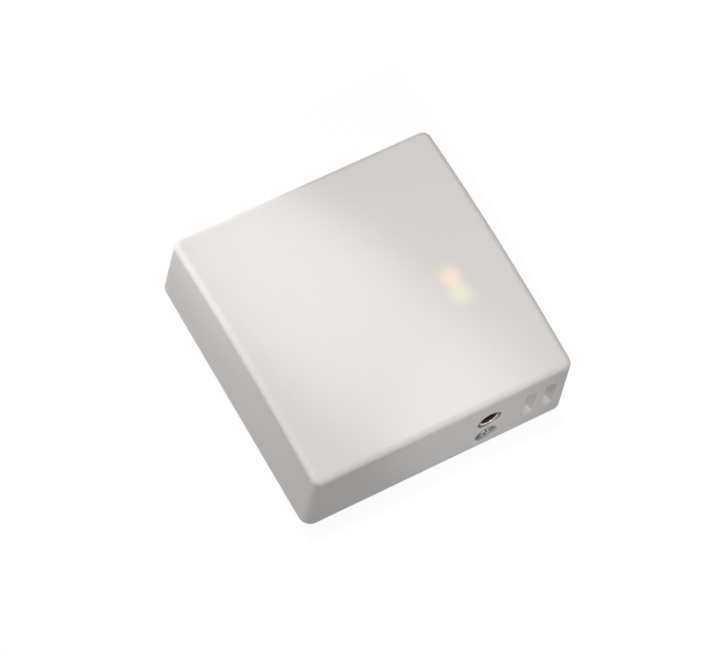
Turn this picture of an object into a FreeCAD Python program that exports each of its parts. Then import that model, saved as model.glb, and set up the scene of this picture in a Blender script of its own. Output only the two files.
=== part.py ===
import FreeCAD, Part
import math
import os

# Wireless room temperature sensor: a white moulded cover, screwed to a plate on the wall.
# The frame has its origin at the middle of the back face, +Z out of the wall and +Y up the wall.
# The socket, the cover screw and the air slots are in the lower wall, at -Y.
# Every size is in millimetres, and every angle in degrees.

Vector = FreeCAD.Vector
ALONG_X = Vector(1, 0, 0)
ALONG_Y = Vector(0, 1, 0)
ALONG_Z = Vector(0, 0, 1)

# Cover: the moulded shell
cover_width = 80.0
cover_length = 80.0
crown_rise = 2.36
draft_angle = 1.75
corner_radius = 3.3
front_edge_radius = 2.0
side_wall = 2.2
front_wall = 2.2
cavity_corner_radius = 0.8

# Air slots in the lower wall
slot_inset = 9.6
slot_pitch = 6.0
slot_width = 3.3
slot_height = 12.0
slot_bottom = 6.0
slot_taper = 0.9
slot_mouth_depth = 2.0
slot_frame_depth = 0.8
slot_frame_margin = 1.0

# Cover screw and its counterbore
counterbore_radius = 3.3
counterbore_wall = 0.8
counterbore_floor = 1.6
screw_head_radius = 2.8
screw_head_height = 1.9
screw_head_crown = 0.6
screw_head_recess = 1.0
screw_shank_radius = 1.45
screw_shank_length = 8.0
screw_hole_clearance = 0.2
recess_span = 3.4
recess_width = 0.75
recess_depth = 1.3
recess_foot_share = 0.45

# Snaps at the upper wall
snap_x = 18.0
snap_width = 8.0
snap_reach = 1.2
snap_flat = 0.6
snap_height = 4.6
snap_gap = 0.3
tongue_thickness = 1.5
tongue_lip_height = 1.5

# Back plate
plate_thickness = 2.2
plate_clearance = 0.35
plate_recess_depth = 0.6
plate_recess_border = 2.2
rim_height = 2.8
rim_thickness = 1.4
rib_height = 1.2
rib_thickness = 1.2
rib_x = 12.0
rib_length = 36.0
rib_middle_y = -9.0
rib_cross_y = -18.0
wall_hole_spacing = 60.0
wall_hole_radius = 2.2
wall_hole_length = 9.0
lug_wall = 1.9
lug_gap = 0.2
chamber_wall = 1.2
chamber_depth = 4.6
chamber_margin = 2.0

# Threaded insert in the lug
insert_radius = 2.1
insert_length = 6.0
insert_bore_clearance = 0.05
insert_fit = 0.02

# Battery cell, its holder and contacts
cell_radius = 7.25
cell_length = 50.5
cell_nub_radius = 2.7
cell_nub_length = 1.5
cell_edge_radius = 0.8
cell_y = 21.0
cell_plate_gap = 0.3
holder_cell_gap = 0.1
holder_wall = 1.2
holder_end_wall = 1.6
holder_side_height = 6.0
clip_length = 9.0
clip_inset = 8.0
clip_drop = 2.6
contact_thickness = 0.4
contact_width = 6.0
contact_length = 10.0
contact_spring_travel = 2.2
contact_tip_gap = 0.1

# Circuit board and what holds it
board_thickness = 1.6
board_headroom = 4.7
board_clearance = 0.5
board_corner_cut = 2.0
boss_inset = 8.0
boss_side_shift = 6.0
boss_radius = 2.4
gusset_thickness = 1.0
gusset_step = 1.2
pilot_radius = 0.9
pilot_end_wall = 1.0
board_screw_radius = 0.85
board_screw_hole_radius = 1.15
board_screw_length = 4.6
board_screw_head_radius = 2.0
board_screw_head_height = 1.4
tail_clearance = 0.15
tail_stand = 0.8
thermal_slot_width = 1.2
thermal_slot_length = 15.0

# Probe socket
socket_x = 14.7
socket_drop = 4.4
socket_screw_pitch = 8.0
socket_hole_radius = 3.6
socket_nose_radius = 3.45
socket_nose_recess = 0.4
socket_bore_radius = 1.8
socket_mouth_radius = 2.45
socket_mouth_depth = 1.2
socket_seat_depth = 1.8
socket_fit = 0.05
socket_wall_gap = 0.2
socket_body_half_width = 4.0
socket_body_below = 3.7
socket_body_length = 12.5
socket_body_chamfer = 0.8
socket_inner_radius = 2.4
socket_end_wall = 1.4
socket_window_length = 4.2
socket_window_height = 2.4
socket_window_offset = 5.2
spring_thickness = 0.3
spring_width = 1.8
spring_plug_gap = 0.1
spring_bend_share = 0.8
tail_width = 1.0

# Light: the two lamps, their shroud and the thin places of the front wall
lamp_x = 21.7
lamp_middle_y = -6.0
lamp_pitch = 5.4
lamp_width = 3.0
lamp_length = 2.6
lamp_base_height = 0.8
lamp_lens_size = 2.0
lamp_lens_height = 1.1
shroud_bore_width = 4.4
shroud_wall = 0.9
shroud_top_gap = 0.3
light_skin = 1.2

# Radio
radio_inset = 21.0
radio_y = -7.0
radio_board_width = 17.0
radio_board_length = 15.0
radio_board_thickness = 0.8
shield_width = 12.5
shield_length = 11.0
shield_height = 2.0
shield_sheet = 0.2
radio_chip_size = 4.0
radio_chip_height = 0.9
antenna_width = 1.2
antenna_thickness = 0.3
antenna_stand = 1.4
antenna_edge_inset = 3.2
antenna_end_x = 18.0

# Small parts on the board
processor_x = 3.0
processor_y = -17.0
processor_size = 7.0
processor_height = 1.0
processor_lead_count = 4
lead_pitch = 1.4
lead_width = 0.4
lead_reach = 1.0
lead_thickness = 0.2
memory_x = 5.0
memory_y = -29.0
memory_width = 4.9
memory_length = 3.9
memory_height = 1.4
memory_lead_count = 4
memory_lead_pitch = 1.27
regulator_x = -6.0
regulator_y = -29.0
regulator_width = 4.5
regulator_length = 2.5
regulator_height = 1.5
regulator_tab_width = 1.6
crystal_x = 3.0
crystal_y = -6.5
crystal_length = 10.6
crystal_width = 4.4
crystal_height = 3.2
capacitor_x = -6.0
capacitor_y = -6.0
capacitor_radius = 4.0
capacitor_length = 9.0
capacitor_base_height = 0.9
capacitor_base_margin = 0.2
chip_length = 2.0
chip_width = 1.25
chip_height = 0.8
chip_pitch = 3.0
chip_capacitor_x = -20.0
chip_capacitor_y = -20.5
chip_capacitor_count = 6
chip_resistor_x = 14.0
chip_resistor_y = -22.0
chip_resistor_count = 5
chip_resistor_height = 0.5
header_x = -24.0
header_y = -26.0
header_pitch = 2.54
header_row_count = 2
header_base_height = 2.5
header_pin_width = 0.64
header_pin_length = 8.5
jumper_height = 5.2
jumper_gap = 0.08
jumper_margin = 0.1

# Temperature sensor and the seal of its chamber
sensor_width = 4.2
sensor_depth = 2.6
sensor_chamfer = 1.0
sensor_bottom = 9.0
sensor_length = 4.4
sensor_lead_width = 0.45
sensor_lead_pitch = 1.27
gasket_thickness = 0.8

# Heights that stack up from the wall
cell_height = plate_thickness + cell_plate_gap + cell_radius
holder_radius = cell_radius + holder_cell_gap
board_bottom = cell_height + holder_radius + holder_wall
board_top = board_bottom + board_thickness
chamber_top = board_bottom - gasket_thickness
socket_height = board_bottom - socket_drop
screw_height = socket_height - socket_screw_pitch
cover_edge_height = board_top + board_headroom

# The cover's arch, and the slope of its walls
half_width = cover_width / 2
half_length = cover_length / 2
crown_radius = (half_length ** 2 + crown_rise ** 2) / (2 * crown_rise)
crown_centre = cover_edge_height + crown_rise - crown_radius
draft_slope = math.tan(math.radians(draft_angle))

# How far cutters run past the faces that they open
overcut = 1.0


def front_height(y):
    """Height of the front face at y."""
    return crown_centre + math.sqrt(crown_radius ** 2 - y ** 2)


def ceiling_height(y):
    """Height of the cavity's ceiling at y."""
    return crown_centre + math.sqrt((crown_radius - front_wall) ** 2 - y ** 2)


def wall_face(height):
    """Distance of the upper and lower walls' outer faces from the middle at a height."""
    return half_length - height * draft_slope


def cavity_face(height):
    """Distance of the upper and lower walls' inner faces from the middle at a height."""
    return wall_face(height) - side_wall


# Places that several pieces share
side_cavity_x = half_width - side_wall
slot_middle_x = half_width - slot_inset
screw_x = socket_x
radio_x = -half_width + radio_inset
plate_half_width = side_cavity_x - plate_clearance
plate_half_length = half_length - side_wall - plate_clearance
board_half_width = side_cavity_x - board_clearance
board_half_length = cavity_face(board_top) - board_clearance
screw_seat_y = -wall_face(screw_height) + screw_head_recess + screw_head_height
counterbore_end_y = screw_seat_y + counterbore_floor
counterbore_outer_radius = counterbore_radius + counterbore_wall
lug_front_y = counterbore_end_y + lug_gap
lug_half_width = insert_radius + lug_wall
slot_places = [slot_middle_x - slot_pitch / 2, slot_middle_x + slot_pitch / 2]
slot_frame_half_width = (slot_pitch + slot_width) / 2 + slot_frame_margin
chamber_front_y = -cavity_face(chamber_top) + plate_clearance
chamber_back_y = -cavity_face(slot_bottom) + chamber_depth
chamber_right_x = plate_half_width
chamber_left_x = slot_middle_x - slot_frame_half_width - chamber_margin
socket_face_y = -cavity_face(socket_height) + socket_wall_gap
socket_back_y = socket_face_y + socket_body_length
socket_nose_y = -wall_face(socket_height) + socket_nose_recess
spring_middle_y = socket_face_y + socket_window_offset + socket_window_length / 2
screw_boss_places = [
    (-half_width + boss_inset, half_length - boss_inset),
    (half_width - boss_inset, -half_length + boss_inset + boss_side_shift),
]
board_rest_places = [
    (-half_width + boss_inset, -half_length + boss_inset),
    (half_width - boss_inset, half_length - boss_inset),
]
lamp_places = {
    "orange": (lamp_x, lamp_middle_y + lamp_pitch / 2),
    "green": (lamp_x, lamp_middle_y - lamp_pitch / 2),
}
cell_start_x = -cell_length / 2
cell_end_x = cell_length / 2
holder_start_x = cell_start_x - contact_spring_travel - contact_thickness
holder_end_x = cell_end_x + contact_thickness


def block(x_range, y_range, z_range):
    """Box between two values on each axis."""
    sizes = [high - low for low, high in (x_range, y_range, z_range)]
    return Part.makeBox(*sizes, Vector(x_range[0], y_range[0], z_range[0]))


def block_at(x, y, width, length, bottom, height):
    """Box centred on a place in plan, standing on a height."""
    return block(
        (x - width / 2, x + width / 2),
        (y - length / 2, y + length / 2),
        (bottom, bottom + height),
    )


def post(x, y, radius, bottom, top):
    """Upright cylinder."""
    return Part.makeCylinder(radius, top - bottom, Vector(x, y, bottom), ALONG_Z)


def rod_in_wall(x, height, radius, start_y, end_y):
    """Cylinder that lies along Y, square to the lower wall."""
    return Part.makeCylinder(radius, end_y - start_y, Vector(x, start_y, height), ALONG_Y)


def rounded_wire(points, radii):
    """Closed wire through corner points, each corner rounded by a tangent arc of its own radius."""
    edges = []
    count = len(points)
    ends = []
    for i, corner in enumerate(points):
        before = (points[i - 1] - corner).normalize()
        after = (points[(i + 1) % count] - corner).normalize()
        half_turn = before.getAngle(after) / 2
        cut = radii[i] / math.tan(half_turn)
        middle = (before + after).normalize()
        centre_distance = radii[i] / math.sin(half_turn)
        ends.append((
            corner + before * cut,
            corner + middle * (centre_distance - radii[i]),
            corner + after * cut,
        ))
    for i, (start, top, end) in enumerate(ends):
        if radii[i] > 0:
            edges.append(Part.Arc(start, top, end).toShape())
        next_start = ends[(i + 1) % count][0]
        if (next_start - end).Length > 1e-6:
            edges.append(Part.LineSegment(end, next_start).toShape())
    return Part.Wire(edges)


def rectangle_points(x_half, y_half, x, y, z):
    """Corners of a rectangle in plan."""
    return [
        Vector(x - x_half, y - y_half, z),
        Vector(x + x_half, y - y_half, z),
        Vector(x + x_half, y + y_half, z),
        Vector(x - x_half, y + y_half, z),
    ]


def rounded_slab(x_half, y_half, radius, bottom, top, x=0.0, y=0.0):
    """Flat slab with rounded corners in plan."""
    wire = rounded_wire(rectangle_points(x_half, y_half, x, y, bottom), [radius] * 4)
    return Part.Face(wire).extrude(Vector(0, 0, top - bottom))


def prism(points, direction):
    """Straight prism on a closed outline."""
    return Part.Face(Part.makePolygon(points + [points[0]])).extrude(direction)


def turned(profile, start, direction):
    """Solid of revolution from an outline of (distance along, radius) points."""
    across = ALONG_X if abs(direction.dot(ALONG_X)) < 0.5 else ALONG_Z
    points = [start + direction * along + across * radius for along, radius in profile]
    face = Part.Face(Part.makePolygon(points + [points[0]]))
    return face.revolve(start, direction, 360)


def band(path, thickness):
    """Closed outline in plan of a strip that follows a path and is mitred at its bends."""
    sides = []
    for sign in (1, -1):
        side = []
        for i, point in enumerate(path):
            before = (point - path[i - 1]).normalize() if i > 0 else None
            after = (path[i + 1] - point).normalize() if i + 1 < len(path) else None
            first = before or after
            last = after or before
            first_normal = ALONG_Z.cross(first)
            last_normal = ALONG_Z.cross(last)
            mitre = (first_normal + last_normal).normalize()
            side.append(point + mitre * (sign * thickness / 2 / mitre.dot(first_normal)))
        sides.append(side)
    return sides[0] + sides[1][::-1]


def fused(shapes):
    """One clean solid out of several that meet."""
    return shapes[0].multiFuse(shapes[1:]).removeSplitter()


def frustum(first, last):
    """Solid with flat sides between two outlines of the same shape."""
    outlines = [first, last]
    count = len(first)
    for i in range(count):
        j = (i + 1) % count
        outlines.append([first[i], first[j], last[j], last[i]])
    faces = [Part.Face(Part.makePolygon(points + [points[0]])) for points in outlines]
    solid = Part.Solid(Part.Shell(faces))
    if solid.Volume < 0:
        solid.reverse()
    return solid


def arched_block(x_half, y_half, plan_radius, top_radius, bottom):
    """Block with a front face arched along Y, whose upper and lower walls lean inwards."""
    beyond_x = 2 * x_half
    beyond_y = y_half + cover_edge_height
    high = cover_edge_height + 2 * crown_rise
    walls = frustum(
        rectangle_points(x_half, y_half - bottom * draft_slope, 0, 0, bottom),
        rectangle_points(x_half, y_half - high * draft_slope, 0, 0, high),
    )
    spring_z = crown_centre + math.sqrt(top_radius ** 2 - beyond_y ** 2)
    left = Vector(-beyond_x, -beyond_y, spring_z)
    right = Vector(-beyond_x, beyond_y, spring_z)
    top = Vector(-beyond_x, 0, crown_centre + top_radius)
    foot = Vector(0, 0, bottom - spring_z)
    outline = [
        Part.Arc(left, top, right).toShape(),
        Part.LineSegment(right, right + foot).toShape(),
        Part.LineSegment(right + foot, left + foot).toShape(),
        Part.LineSegment(left + foot, left).toShape(),
    ]
    arch = Part.Face(Part.Wire(outline)).extrude(Vector(2 * beyond_x, 0, 0))
    body = walls.common(arch)
    upright = [edge for edge in body.Edges if edge.BoundBox.ZLength > cover_edge_height / 2]
    return body.makeFillet(plan_radius, upright)


def outline_in_wall(x, height, x_half, z_half, y):
    """Corners of a rectangle square to Y."""
    return [
        Vector(x - x_half, y, height - z_half),
        Vector(x + x_half, y, height - z_half),
        Vector(x + x_half, y, height + z_half),
        Vector(x - x_half, y, height + z_half),
    ]


def outline_on_face(x, height, x_half, z_half, depth):
    """Corners of a rectangle at a depth behind the leaning outer face of the lower wall."""
    return [
        Vector(corner.x, depth - wall_face(corner.z), corner.z)
        for corner in outline_in_wall(x, height, x_half, z_half, 0.0)
    ]


def slot_cutter(x):
    """Cutter of one air slot: a mouth that narrows on all sides to a straight throat."""
    x_half = slot_width / 2
    z_half = slot_height / 2
    height = slot_bottom + z_half
    spread = slot_taper / slot_mouth_depth * overcut
    mouth = frustum(
        outline_on_face(x, height, x_half + spread, z_half + spread, -overcut),
        outline_on_face(
            x, height, x_half - slot_taper, z_half - slot_taper, slot_mouth_depth
        ),
    )
    throat = block(
        (x - x_half + slot_taper, x + x_half - slot_taper),
        (-half_length - overcut, -half_length + side_wall + slot_frame_depth + overcut),
        (slot_bottom + slot_taper, slot_bottom + slot_height - slot_taper),
    )
    return fused([mouth, throat])


def wall_ribs(x, y, bottom):
    """Two ribs under the front wall that run from a place to the nearest walls."""
    root = ceiling_height(y) + front_wall / 2
    wall_x = math.copysign(side_cavity_x + side_wall / 2, x)
    wall_y = math.copysign(cavity_face(board_top) + side_wall / 2, y)
    half = gusset_thickness / 2
    return [
        block(sorted((x - math.copysign(half, x), wall_x)), (y - half, y + half), (bottom, root)),
        block((x - half, x + half), sorted((y, wall_y)), (bottom, root)),
    ]


def screw_boss(x, y):
    """Boss for a board screw, stiffened by two ribs that stop short of the board."""
    root = ceiling_height(y) + front_wall / 2
    return [post(x, y, boss_radius, board_top, root)] + wall_ribs(x, y, board_top + gusset_step)


def snap_wedge(x):
    """Wedge inside the upper wall that catches under a tongue of the back plate."""
    wall = cavity_face(snap_height)
    root = wall + side_wall / 2
    tip = wall - snap_reach
    low = snap_height - snap_flat - snap_reach
    outline = [
        Vector(x - snap_width / 2, root, low),
        Vector(x - snap_width / 2, cavity_face(low), low),
        Vector(x - snap_width / 2, tip, snap_height - snap_flat),
        Vector(x - snap_width / 2, tip, snap_height),
        Vector(x - snap_width / 2, root, snap_height),
    ]
    return prism(outline, Vector(snap_width, 0, 0))


def front_cover():
    """Moulded shell with its bosses, slot frame, snaps and openings."""
    outer = arched_block(half_width, half_length, corner_radius, crown_radius, 0.0)
    front = max(outer.Faces, key=lambda face: face.CenterOfMass.z)
    outer = outer.makeFillet(front_edge_radius, front.Edges)
    cavity = arched_block(
        side_cavity_x,
        half_length - side_wall,
        cavity_corner_radius,
        crown_radius - front_wall,
        -overcut,
    )
    shell = outer.cut(cavity)
    frame = block(
        (slot_middle_x - slot_frame_half_width, slot_middle_x + slot_frame_half_width),
        (-cavity_face(slot_bottom) - side_wall / 2, -cavity_face(slot_bottom) + slot_frame_depth),
        (slot_bottom - slot_frame_margin, slot_bottom + slot_height + slot_frame_margin),
    )
    frame = frame.common(cavity.fuse(outer))
    counterbore_boss = rod_in_wall(
        screw_x,
        screw_height,
        counterbore_outer_radius,
        -wall_face(screw_height) + side_wall / 2,
        counterbore_end_y,
    )
    additions = [frame, counterbore_boss, snap_wedge(-snap_x), snap_wedge(snap_x)]
    for x, y in screw_boss_places:
        additions.extend(screw_boss(x, y))
    for x, y in board_rest_places:
        additions.extend(wall_ribs(x, y, board_top))
    shell = fused([shell] + additions)
    outside_y = -half_length - overcut
    cutters = [
        rod_in_wall(screw_x, screw_height, counterbore_radius, outside_y, screw_seat_y),
        rod_in_wall(
            screw_x,
            screw_height,
            screw_shank_radius + screw_hole_clearance,
            outside_y,
            counterbore_end_y + overcut,
        ),
        rod_in_wall(
            socket_x, socket_height, socket_hole_radius, outside_y, socket_face_y + overcut
        ),
    ]
    for x in slot_places:
        cutters.append(slot_cutter(x))
    for x, y in lamp_places.values():
        well_bottom = ceiling_height(y) - front_wall
        well_depth = front_height(y) - light_skin - well_bottom
        cutters.append(
            block_at(x, y, shroud_bore_width, shroud_bore_width, well_bottom, well_depth)
        )
    for x, y in screw_boss_places:
        pilot_top = front_height(y) - pilot_end_wall
        cutters.append(post(x, y, pilot_radius, board_top - overcut, pilot_top))
    return shell.cut(Part.makeCompound(cutters))


def tongue(x):
    """Upright catch of the back plate, with a lip over the cover's wedge."""
    face = cavity_face(snap_height) - snap_reach - snap_gap
    lip_bottom = snap_height + snap_gap
    lip_top = lip_bottom + tongue_lip_height
    lip_tip = cavity_face(lip_top) - snap_gap
    outline = [
        Vector(x - snap_width / 2, face - tongue_thickness, plate_thickness - rib_height),
        Vector(x - snap_width / 2, face, plate_thickness - rib_height),
        Vector(x - snap_width / 2, face, lip_bottom),
        Vector(x - snap_width / 2, lip_tip, lip_bottom),
        Vector(x - snap_width / 2, face, lip_top + tongue_lip_height / 2),
        Vector(x - snap_width / 2, face - tongue_thickness, lip_top + tongue_lip_height / 2),
    ]
    return prism(outline, Vector(snap_width, 0, 0))


def wall_slot(x):
    """Cutter of the slot along X for one wall screw."""
    straight = wall_hole_length / 2 - wall_hole_radius
    top = plate_thickness + overcut
    return fused([
        block((x - straight, x + straight), (-wall_hole_radius, wall_hole_radius), (-overcut, top)),
        post(x - straight, 0.0, wall_hole_radius, -overcut, top),
        post(x + straight, 0.0, wall_hole_radius, -overcut, top),
    ])


def back_plate():
    """Moulded plate that stays on the wall, and carries the cover."""
    plate = rounded_slab(
        plate_half_width, plate_half_length, cavity_corner_radius, 0.0, plate_thickness
    )
    rim_top = plate_thickness + rim_height
    rim = rounded_slab(
        plate_half_width, plate_half_length, cavity_corner_radius, plate_thickness / 2, rim_top
    ).cut(
        block(
            (-plate_half_width + rim_thickness, plate_half_width - rim_thickness),
            (-plate_half_length + rim_thickness, plate_half_length - rim_thickness),
            (0.0, rim_top),
        )
    )
    boss_gap_half = counterbore_outer_radius + snap_gap
    snap_gap_half = snap_width / 2 + snap_gap
    rim_gaps = [
        block(
            (screw_x - boss_gap_half, screw_x + boss_gap_half),
            (-half_length, lug_front_y),
            (-overcut, rim_top + overcut),
        ),
    ]
    for x in (-snap_x, snap_x):
        rim_gaps.append(
            block(
                (x - snap_gap_half, x + snap_gap_half),
                (cavity_face(snap_height) - snap_reach - snap_gap, half_length),
                (plate_thickness, rim_top + overcut),
            )
        )
    lug = block(
        (screw_x - lug_half_width, screw_x + lug_half_width),
        (lug_front_y, lug_front_y + insert_length),
        (plate_thickness / 2, screw_height + lug_half_width),
    )
    chamber_outer = block(
        (chamber_left_x, chamber_right_x),
        (chamber_front_y, chamber_back_y + chamber_wall),
        (plate_thickness / 2, chamber_top),
    )
    chamber_inner = block(
        (chamber_left_x + chamber_wall, chamber_right_x - chamber_wall),
        (chamber_front_y - overcut, chamber_back_y),
        (plate_thickness, chamber_top + overcut),
    )
    ribs = [
        block_at(x, rib_middle_y, rib_thickness, rib_length, plate_thickness / 2,
                 plate_thickness / 2 + rib_height)
        for x in (-rib_x, rib_x)
    ]
    ribs.append(
        block_at(0.0, rib_cross_y, 2 * rib_x, rib_thickness, plate_thickness / 2,
                 plate_thickness / 2 + rib_height)
    )
    chamber = chamber_outer.cut(chamber_inner)
    solid = fused([plate, rim, lug, chamber] + ribs)
    solid = solid.cut(Part.makeCompound(rim_gaps))
    solid = fused([solid, tongue(-snap_x), tongue(snap_x)])
    recess_x = plate_half_width - plate_recess_border
    recess_y = plate_half_length - plate_recess_border
    cutters = [block((-recess_x, recess_x), (-recess_y, recess_y), (-overcut, plate_recess_depth))]
    for x in (-wall_hole_spacing / 2, wall_hole_spacing / 2):
        cutters.append(wall_slot(x))
    cutters.append(
        rod_in_wall(
            screw_x,
            screw_height,
            insert_radius + insert_fit,
            lug_front_y - overcut,
            lug_front_y + insert_length + overcut,
        )
    )
    for cutter in cutters:
        solid = solid.cut(cutter)
    return solid


def screw_insert():
    """Brass thread pressed into the lug."""
    body = rod_in_wall(
        screw_x, screw_height, insert_radius, lug_front_y, lug_front_y + insert_length
    )
    bore = rod_in_wall(
        screw_x,
        screw_height,
        screw_shank_radius + insert_bore_clearance,
        lug_front_y - overcut,
        lug_front_y + insert_length + overcut,
    )
    return body.cut(bore)


def cover_screw():
    """Pan-head screw with a tapered cross recess."""
    seat = screw_head_height
    profile = [
        (0.0, 0.0),
        (0.0, screw_head_radius - screw_head_crown),
        (screw_head_crown, screw_head_radius),
        (seat, screw_head_radius),
        (seat, screw_shank_radius),
        (seat + screw_shank_length, screw_shank_radius),
        (seat + screw_shank_length, 0.0),
    ]
    top_y = screw_seat_y - screw_head_height
    body = turned(profile, Vector(screw_x, top_y, screw_height), ALONG_Y)
    long_half = recess_span / 2
    short_half = recess_width / 2
    for x_half, z_half in ((long_half, short_half), (short_half, long_half)):
        wide = outline_in_wall(screw_x, screw_height, x_half, z_half, top_y)
        narrow = outline_in_wall(
            screw_x, screw_height, x_half * recess_foot_share, z_half * recess_foot_share,
            top_y + recess_depth,
        )
        body = body.cut(frustum(wide, narrow))
    return body


def board_screws():
    """Two self-tapping screws through the board into the cover's bosses."""
    screws = []
    for x, y in screw_boss_places:
        head = post(x, y, board_screw_head_radius, board_bottom - board_screw_head_height, board_bottom)
        shank = post(x, y, board_screw_radius, board_bottom, board_bottom + board_screw_length)
        screws.append(fused([head, shank]))
    return Part.makeCompound(screws)


def battery_cell():
    """Lithium cell: a drawn can with a raised nub."""
    body_end = cell_length - cell_nub_length
    profile = [
        (0.0, 0.0),
        (0.0, cell_radius),
        (body_end - cell_edge_radius, cell_radius),
        (body_end, cell_radius - cell_edge_radius),
        (body_end, cell_nub_radius),
        (cell_length, cell_nub_radius),
        (cell_length, 0.0),
    ]
    return turned(profile, Vector(cell_start_x, cell_y, cell_height), ALONG_X)


def rod_by_cell(radius, start_x, end_x):
    """Cylinder on the battery cell's axis."""
    place = Vector(start_x, cell_y, cell_height)
    return Part.makeCylinder(radius, end_x - start_x, place, ALONG_X)


def battery_holder():
    """Moulded tray on the board's back, with two pairs of clips round the cell."""
    outer_radius = holder_radius + holder_wall
    start = holder_start_x - holder_end_wall
    end = holder_end_x + holder_end_wall
    y_range = (cell_y - outer_radius, cell_y + outer_radius)
    tray_bottom = board_bottom - holder_side_height
    pieces = [
        block((start, end), y_range, (tray_bottom, board_bottom)),
        block((start, holder_start_x), y_range, (cell_height, board_bottom)),
        block((holder_end_x, end), y_range, (cell_height, board_bottom)),
    ]
    for x in (holder_start_x + clip_inset, holder_end_x - clip_inset - clip_length):
        clip = block((x, x + clip_length), y_range, (cell_height - clip_drop, board_bottom))
        pieces.append(clip.common(rod_by_cell(outer_radius, x, x + clip_length)))
    slots_y = (cell_y - contact_width / 2, cell_y + contact_width / 2)
    slots_z = (cell_height, board_bottom + overcut)
    cutters = [
        rod_by_cell(holder_radius, holder_start_x, holder_end_x),
        block((holder_start_x, holder_start_x + contact_thickness), slots_y, slots_z),
        block((cell_end_x, holder_end_x), slots_y, slots_z),
    ]
    solid = fused(pieces)
    for cutter in cutters:
        solid = solid.cut(cutter)
    return solid


def positive_contact():
    """Flat contact plate at the nub's end, with a tail through the board."""
    low = cell_height - contact_length / 2
    plate = block(
        (cell_end_x, holder_end_x),
        (cell_y - contact_width / 2, cell_y + contact_width / 2),
        (low, board_bottom),
    )
    tail = block(
        (cell_end_x, holder_end_x),
        (cell_y - tail_width / 2, cell_y + tail_width / 2),
        (board_bottom - holder_wall, board_top + tail_stand),
    )
    return fused([plate, tail])


def negative_contact():
    """Leaf spring that bulges from the end wall to the cell's base."""
    wall_x = holder_start_x + contact_thickness / 2
    tip_x = cell_start_x - contact_thickness / 2 - contact_tip_gap
    half = contact_length / 2
    outline_z = [board_bottom, cell_height + half / 2, cell_height, cell_height - half]
    outline_x = [wall_x, wall_x, tip_x, wall_x]
    path = [Vector(x, z, 0.0) for x, z in zip(outline_x, outline_z)]
    leaf = prism(band(path, contact_thickness), Vector(0, 0, contact_width))
    leaf.rotate(Vector(0, 0, 0), ALONG_X, 90)
    leaf.translate(Vector(0, cell_y + contact_width / 2, 0))
    tail = block(
        (holder_start_x, holder_start_x + contact_thickness),
        (cell_y - tail_width / 2, cell_y + tail_width / 2),
        (board_bottom - holder_wall, board_top + tail_stand),
    )
    return fused([leaf, tail])


def tail_hole(x_range, y_range):
    """Slot in the board round a flat tail."""
    return block(
        (x_range[0] - tail_clearance, x_range[1] + tail_clearance),
        (y_range[0] - tail_clearance, y_range[1] + tail_clearance),
        (board_bottom - overcut, board_top + overcut),
    )


def sensor_lead_places():
    """Plan places of the temperature sensor's three leads."""
    return [(slot_middle_x + i * sensor_lead_pitch, sensor_y()) for i in (-1, 0, 1)]


def sensor_y():
    """Middle of the sensor chamber between the slot frame and the chamber's back wall."""
    front = -cavity_face(slot_bottom) + slot_frame_depth
    return (front + chamber_back_y) / 2


def header_pin_places():
    """Plan places of the header's pins."""
    offsets = [(i - (header_row_count - 1) / 2) * header_pitch for i in range(header_row_count)]
    return [(header_x + dx, header_y + dy) for dx in offsets for dy in offsets]


def socket_tail_ranges():
    """Plan ranges of the two socket springs' tails."""
    side = socket_body_half_width
    left = (socket_x - side - spring_thickness, socket_x - side)
    right = (socket_x + side, socket_x + side + spring_thickness)
    tail_y = (socket_back_y - 2 * tail_width, socket_back_y - tail_width)
    return [(left, tail_y), (right, tail_y)]


def circuit_board():
    """Main board, with its screw holes, tail holes and the slot that keeps heat off the sensor."""
    x = board_half_width
    y = board_half_length
    cut = board_corner_cut
    outline = [
        Vector(x - cut, -y, board_bottom),
        Vector(x, -y + cut, board_bottom),
        Vector(x, y - cut, board_bottom),
        Vector(x - cut, y, board_bottom),
        Vector(-x + cut, y, board_bottom),
        Vector(-x, y - cut, board_bottom),
        Vector(-x, -y + cut, board_bottom),
        Vector(-x + cut, -y, board_bottom),
    ]
    board = prism(outline, Vector(0, 0, board_thickness))
    cutters = []
    for x, y in screw_boss_places:
        cutters.append(post(x, y, board_screw_hole_radius, board_bottom - overcut, board_top + overcut))
    half_tail = tail_width / 2
    tail_y = (cell_y - half_tail, cell_y + half_tail)
    cutters.append(tail_hole((cell_end_x, holder_end_x), tail_y))
    cutters.append(tail_hole((holder_start_x, holder_start_x + contact_thickness), tail_y))
    for x_range, y_range in socket_tail_ranges():
        cutters.append(tail_hole(x_range, y_range))
    half_lead = sensor_lead_width / 2
    for x, y in sensor_lead_places():
        cutters.append(tail_hole((x - half_lead, x + half_lead), (y - half_lead, y + half_lead)))
    half_pin = header_pin_width / 2
    for x, y in header_pin_places():
        cutters.append(tail_hole((x - half_pin, x + half_pin), (y - half_pin, y + half_pin)))
    slot_y = -board_half_length + thermal_slot_width + thermal_slot_length / 2
    cutters.append(
        block_at(
            chamber_left_x - thermal_slot_width, slot_y, thermal_slot_width, thermal_slot_length,
            board_bottom - overcut, board_thickness + 2 * overcut,
        )
    )
    return board.cut(Part.makeCompound(cutters))


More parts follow.
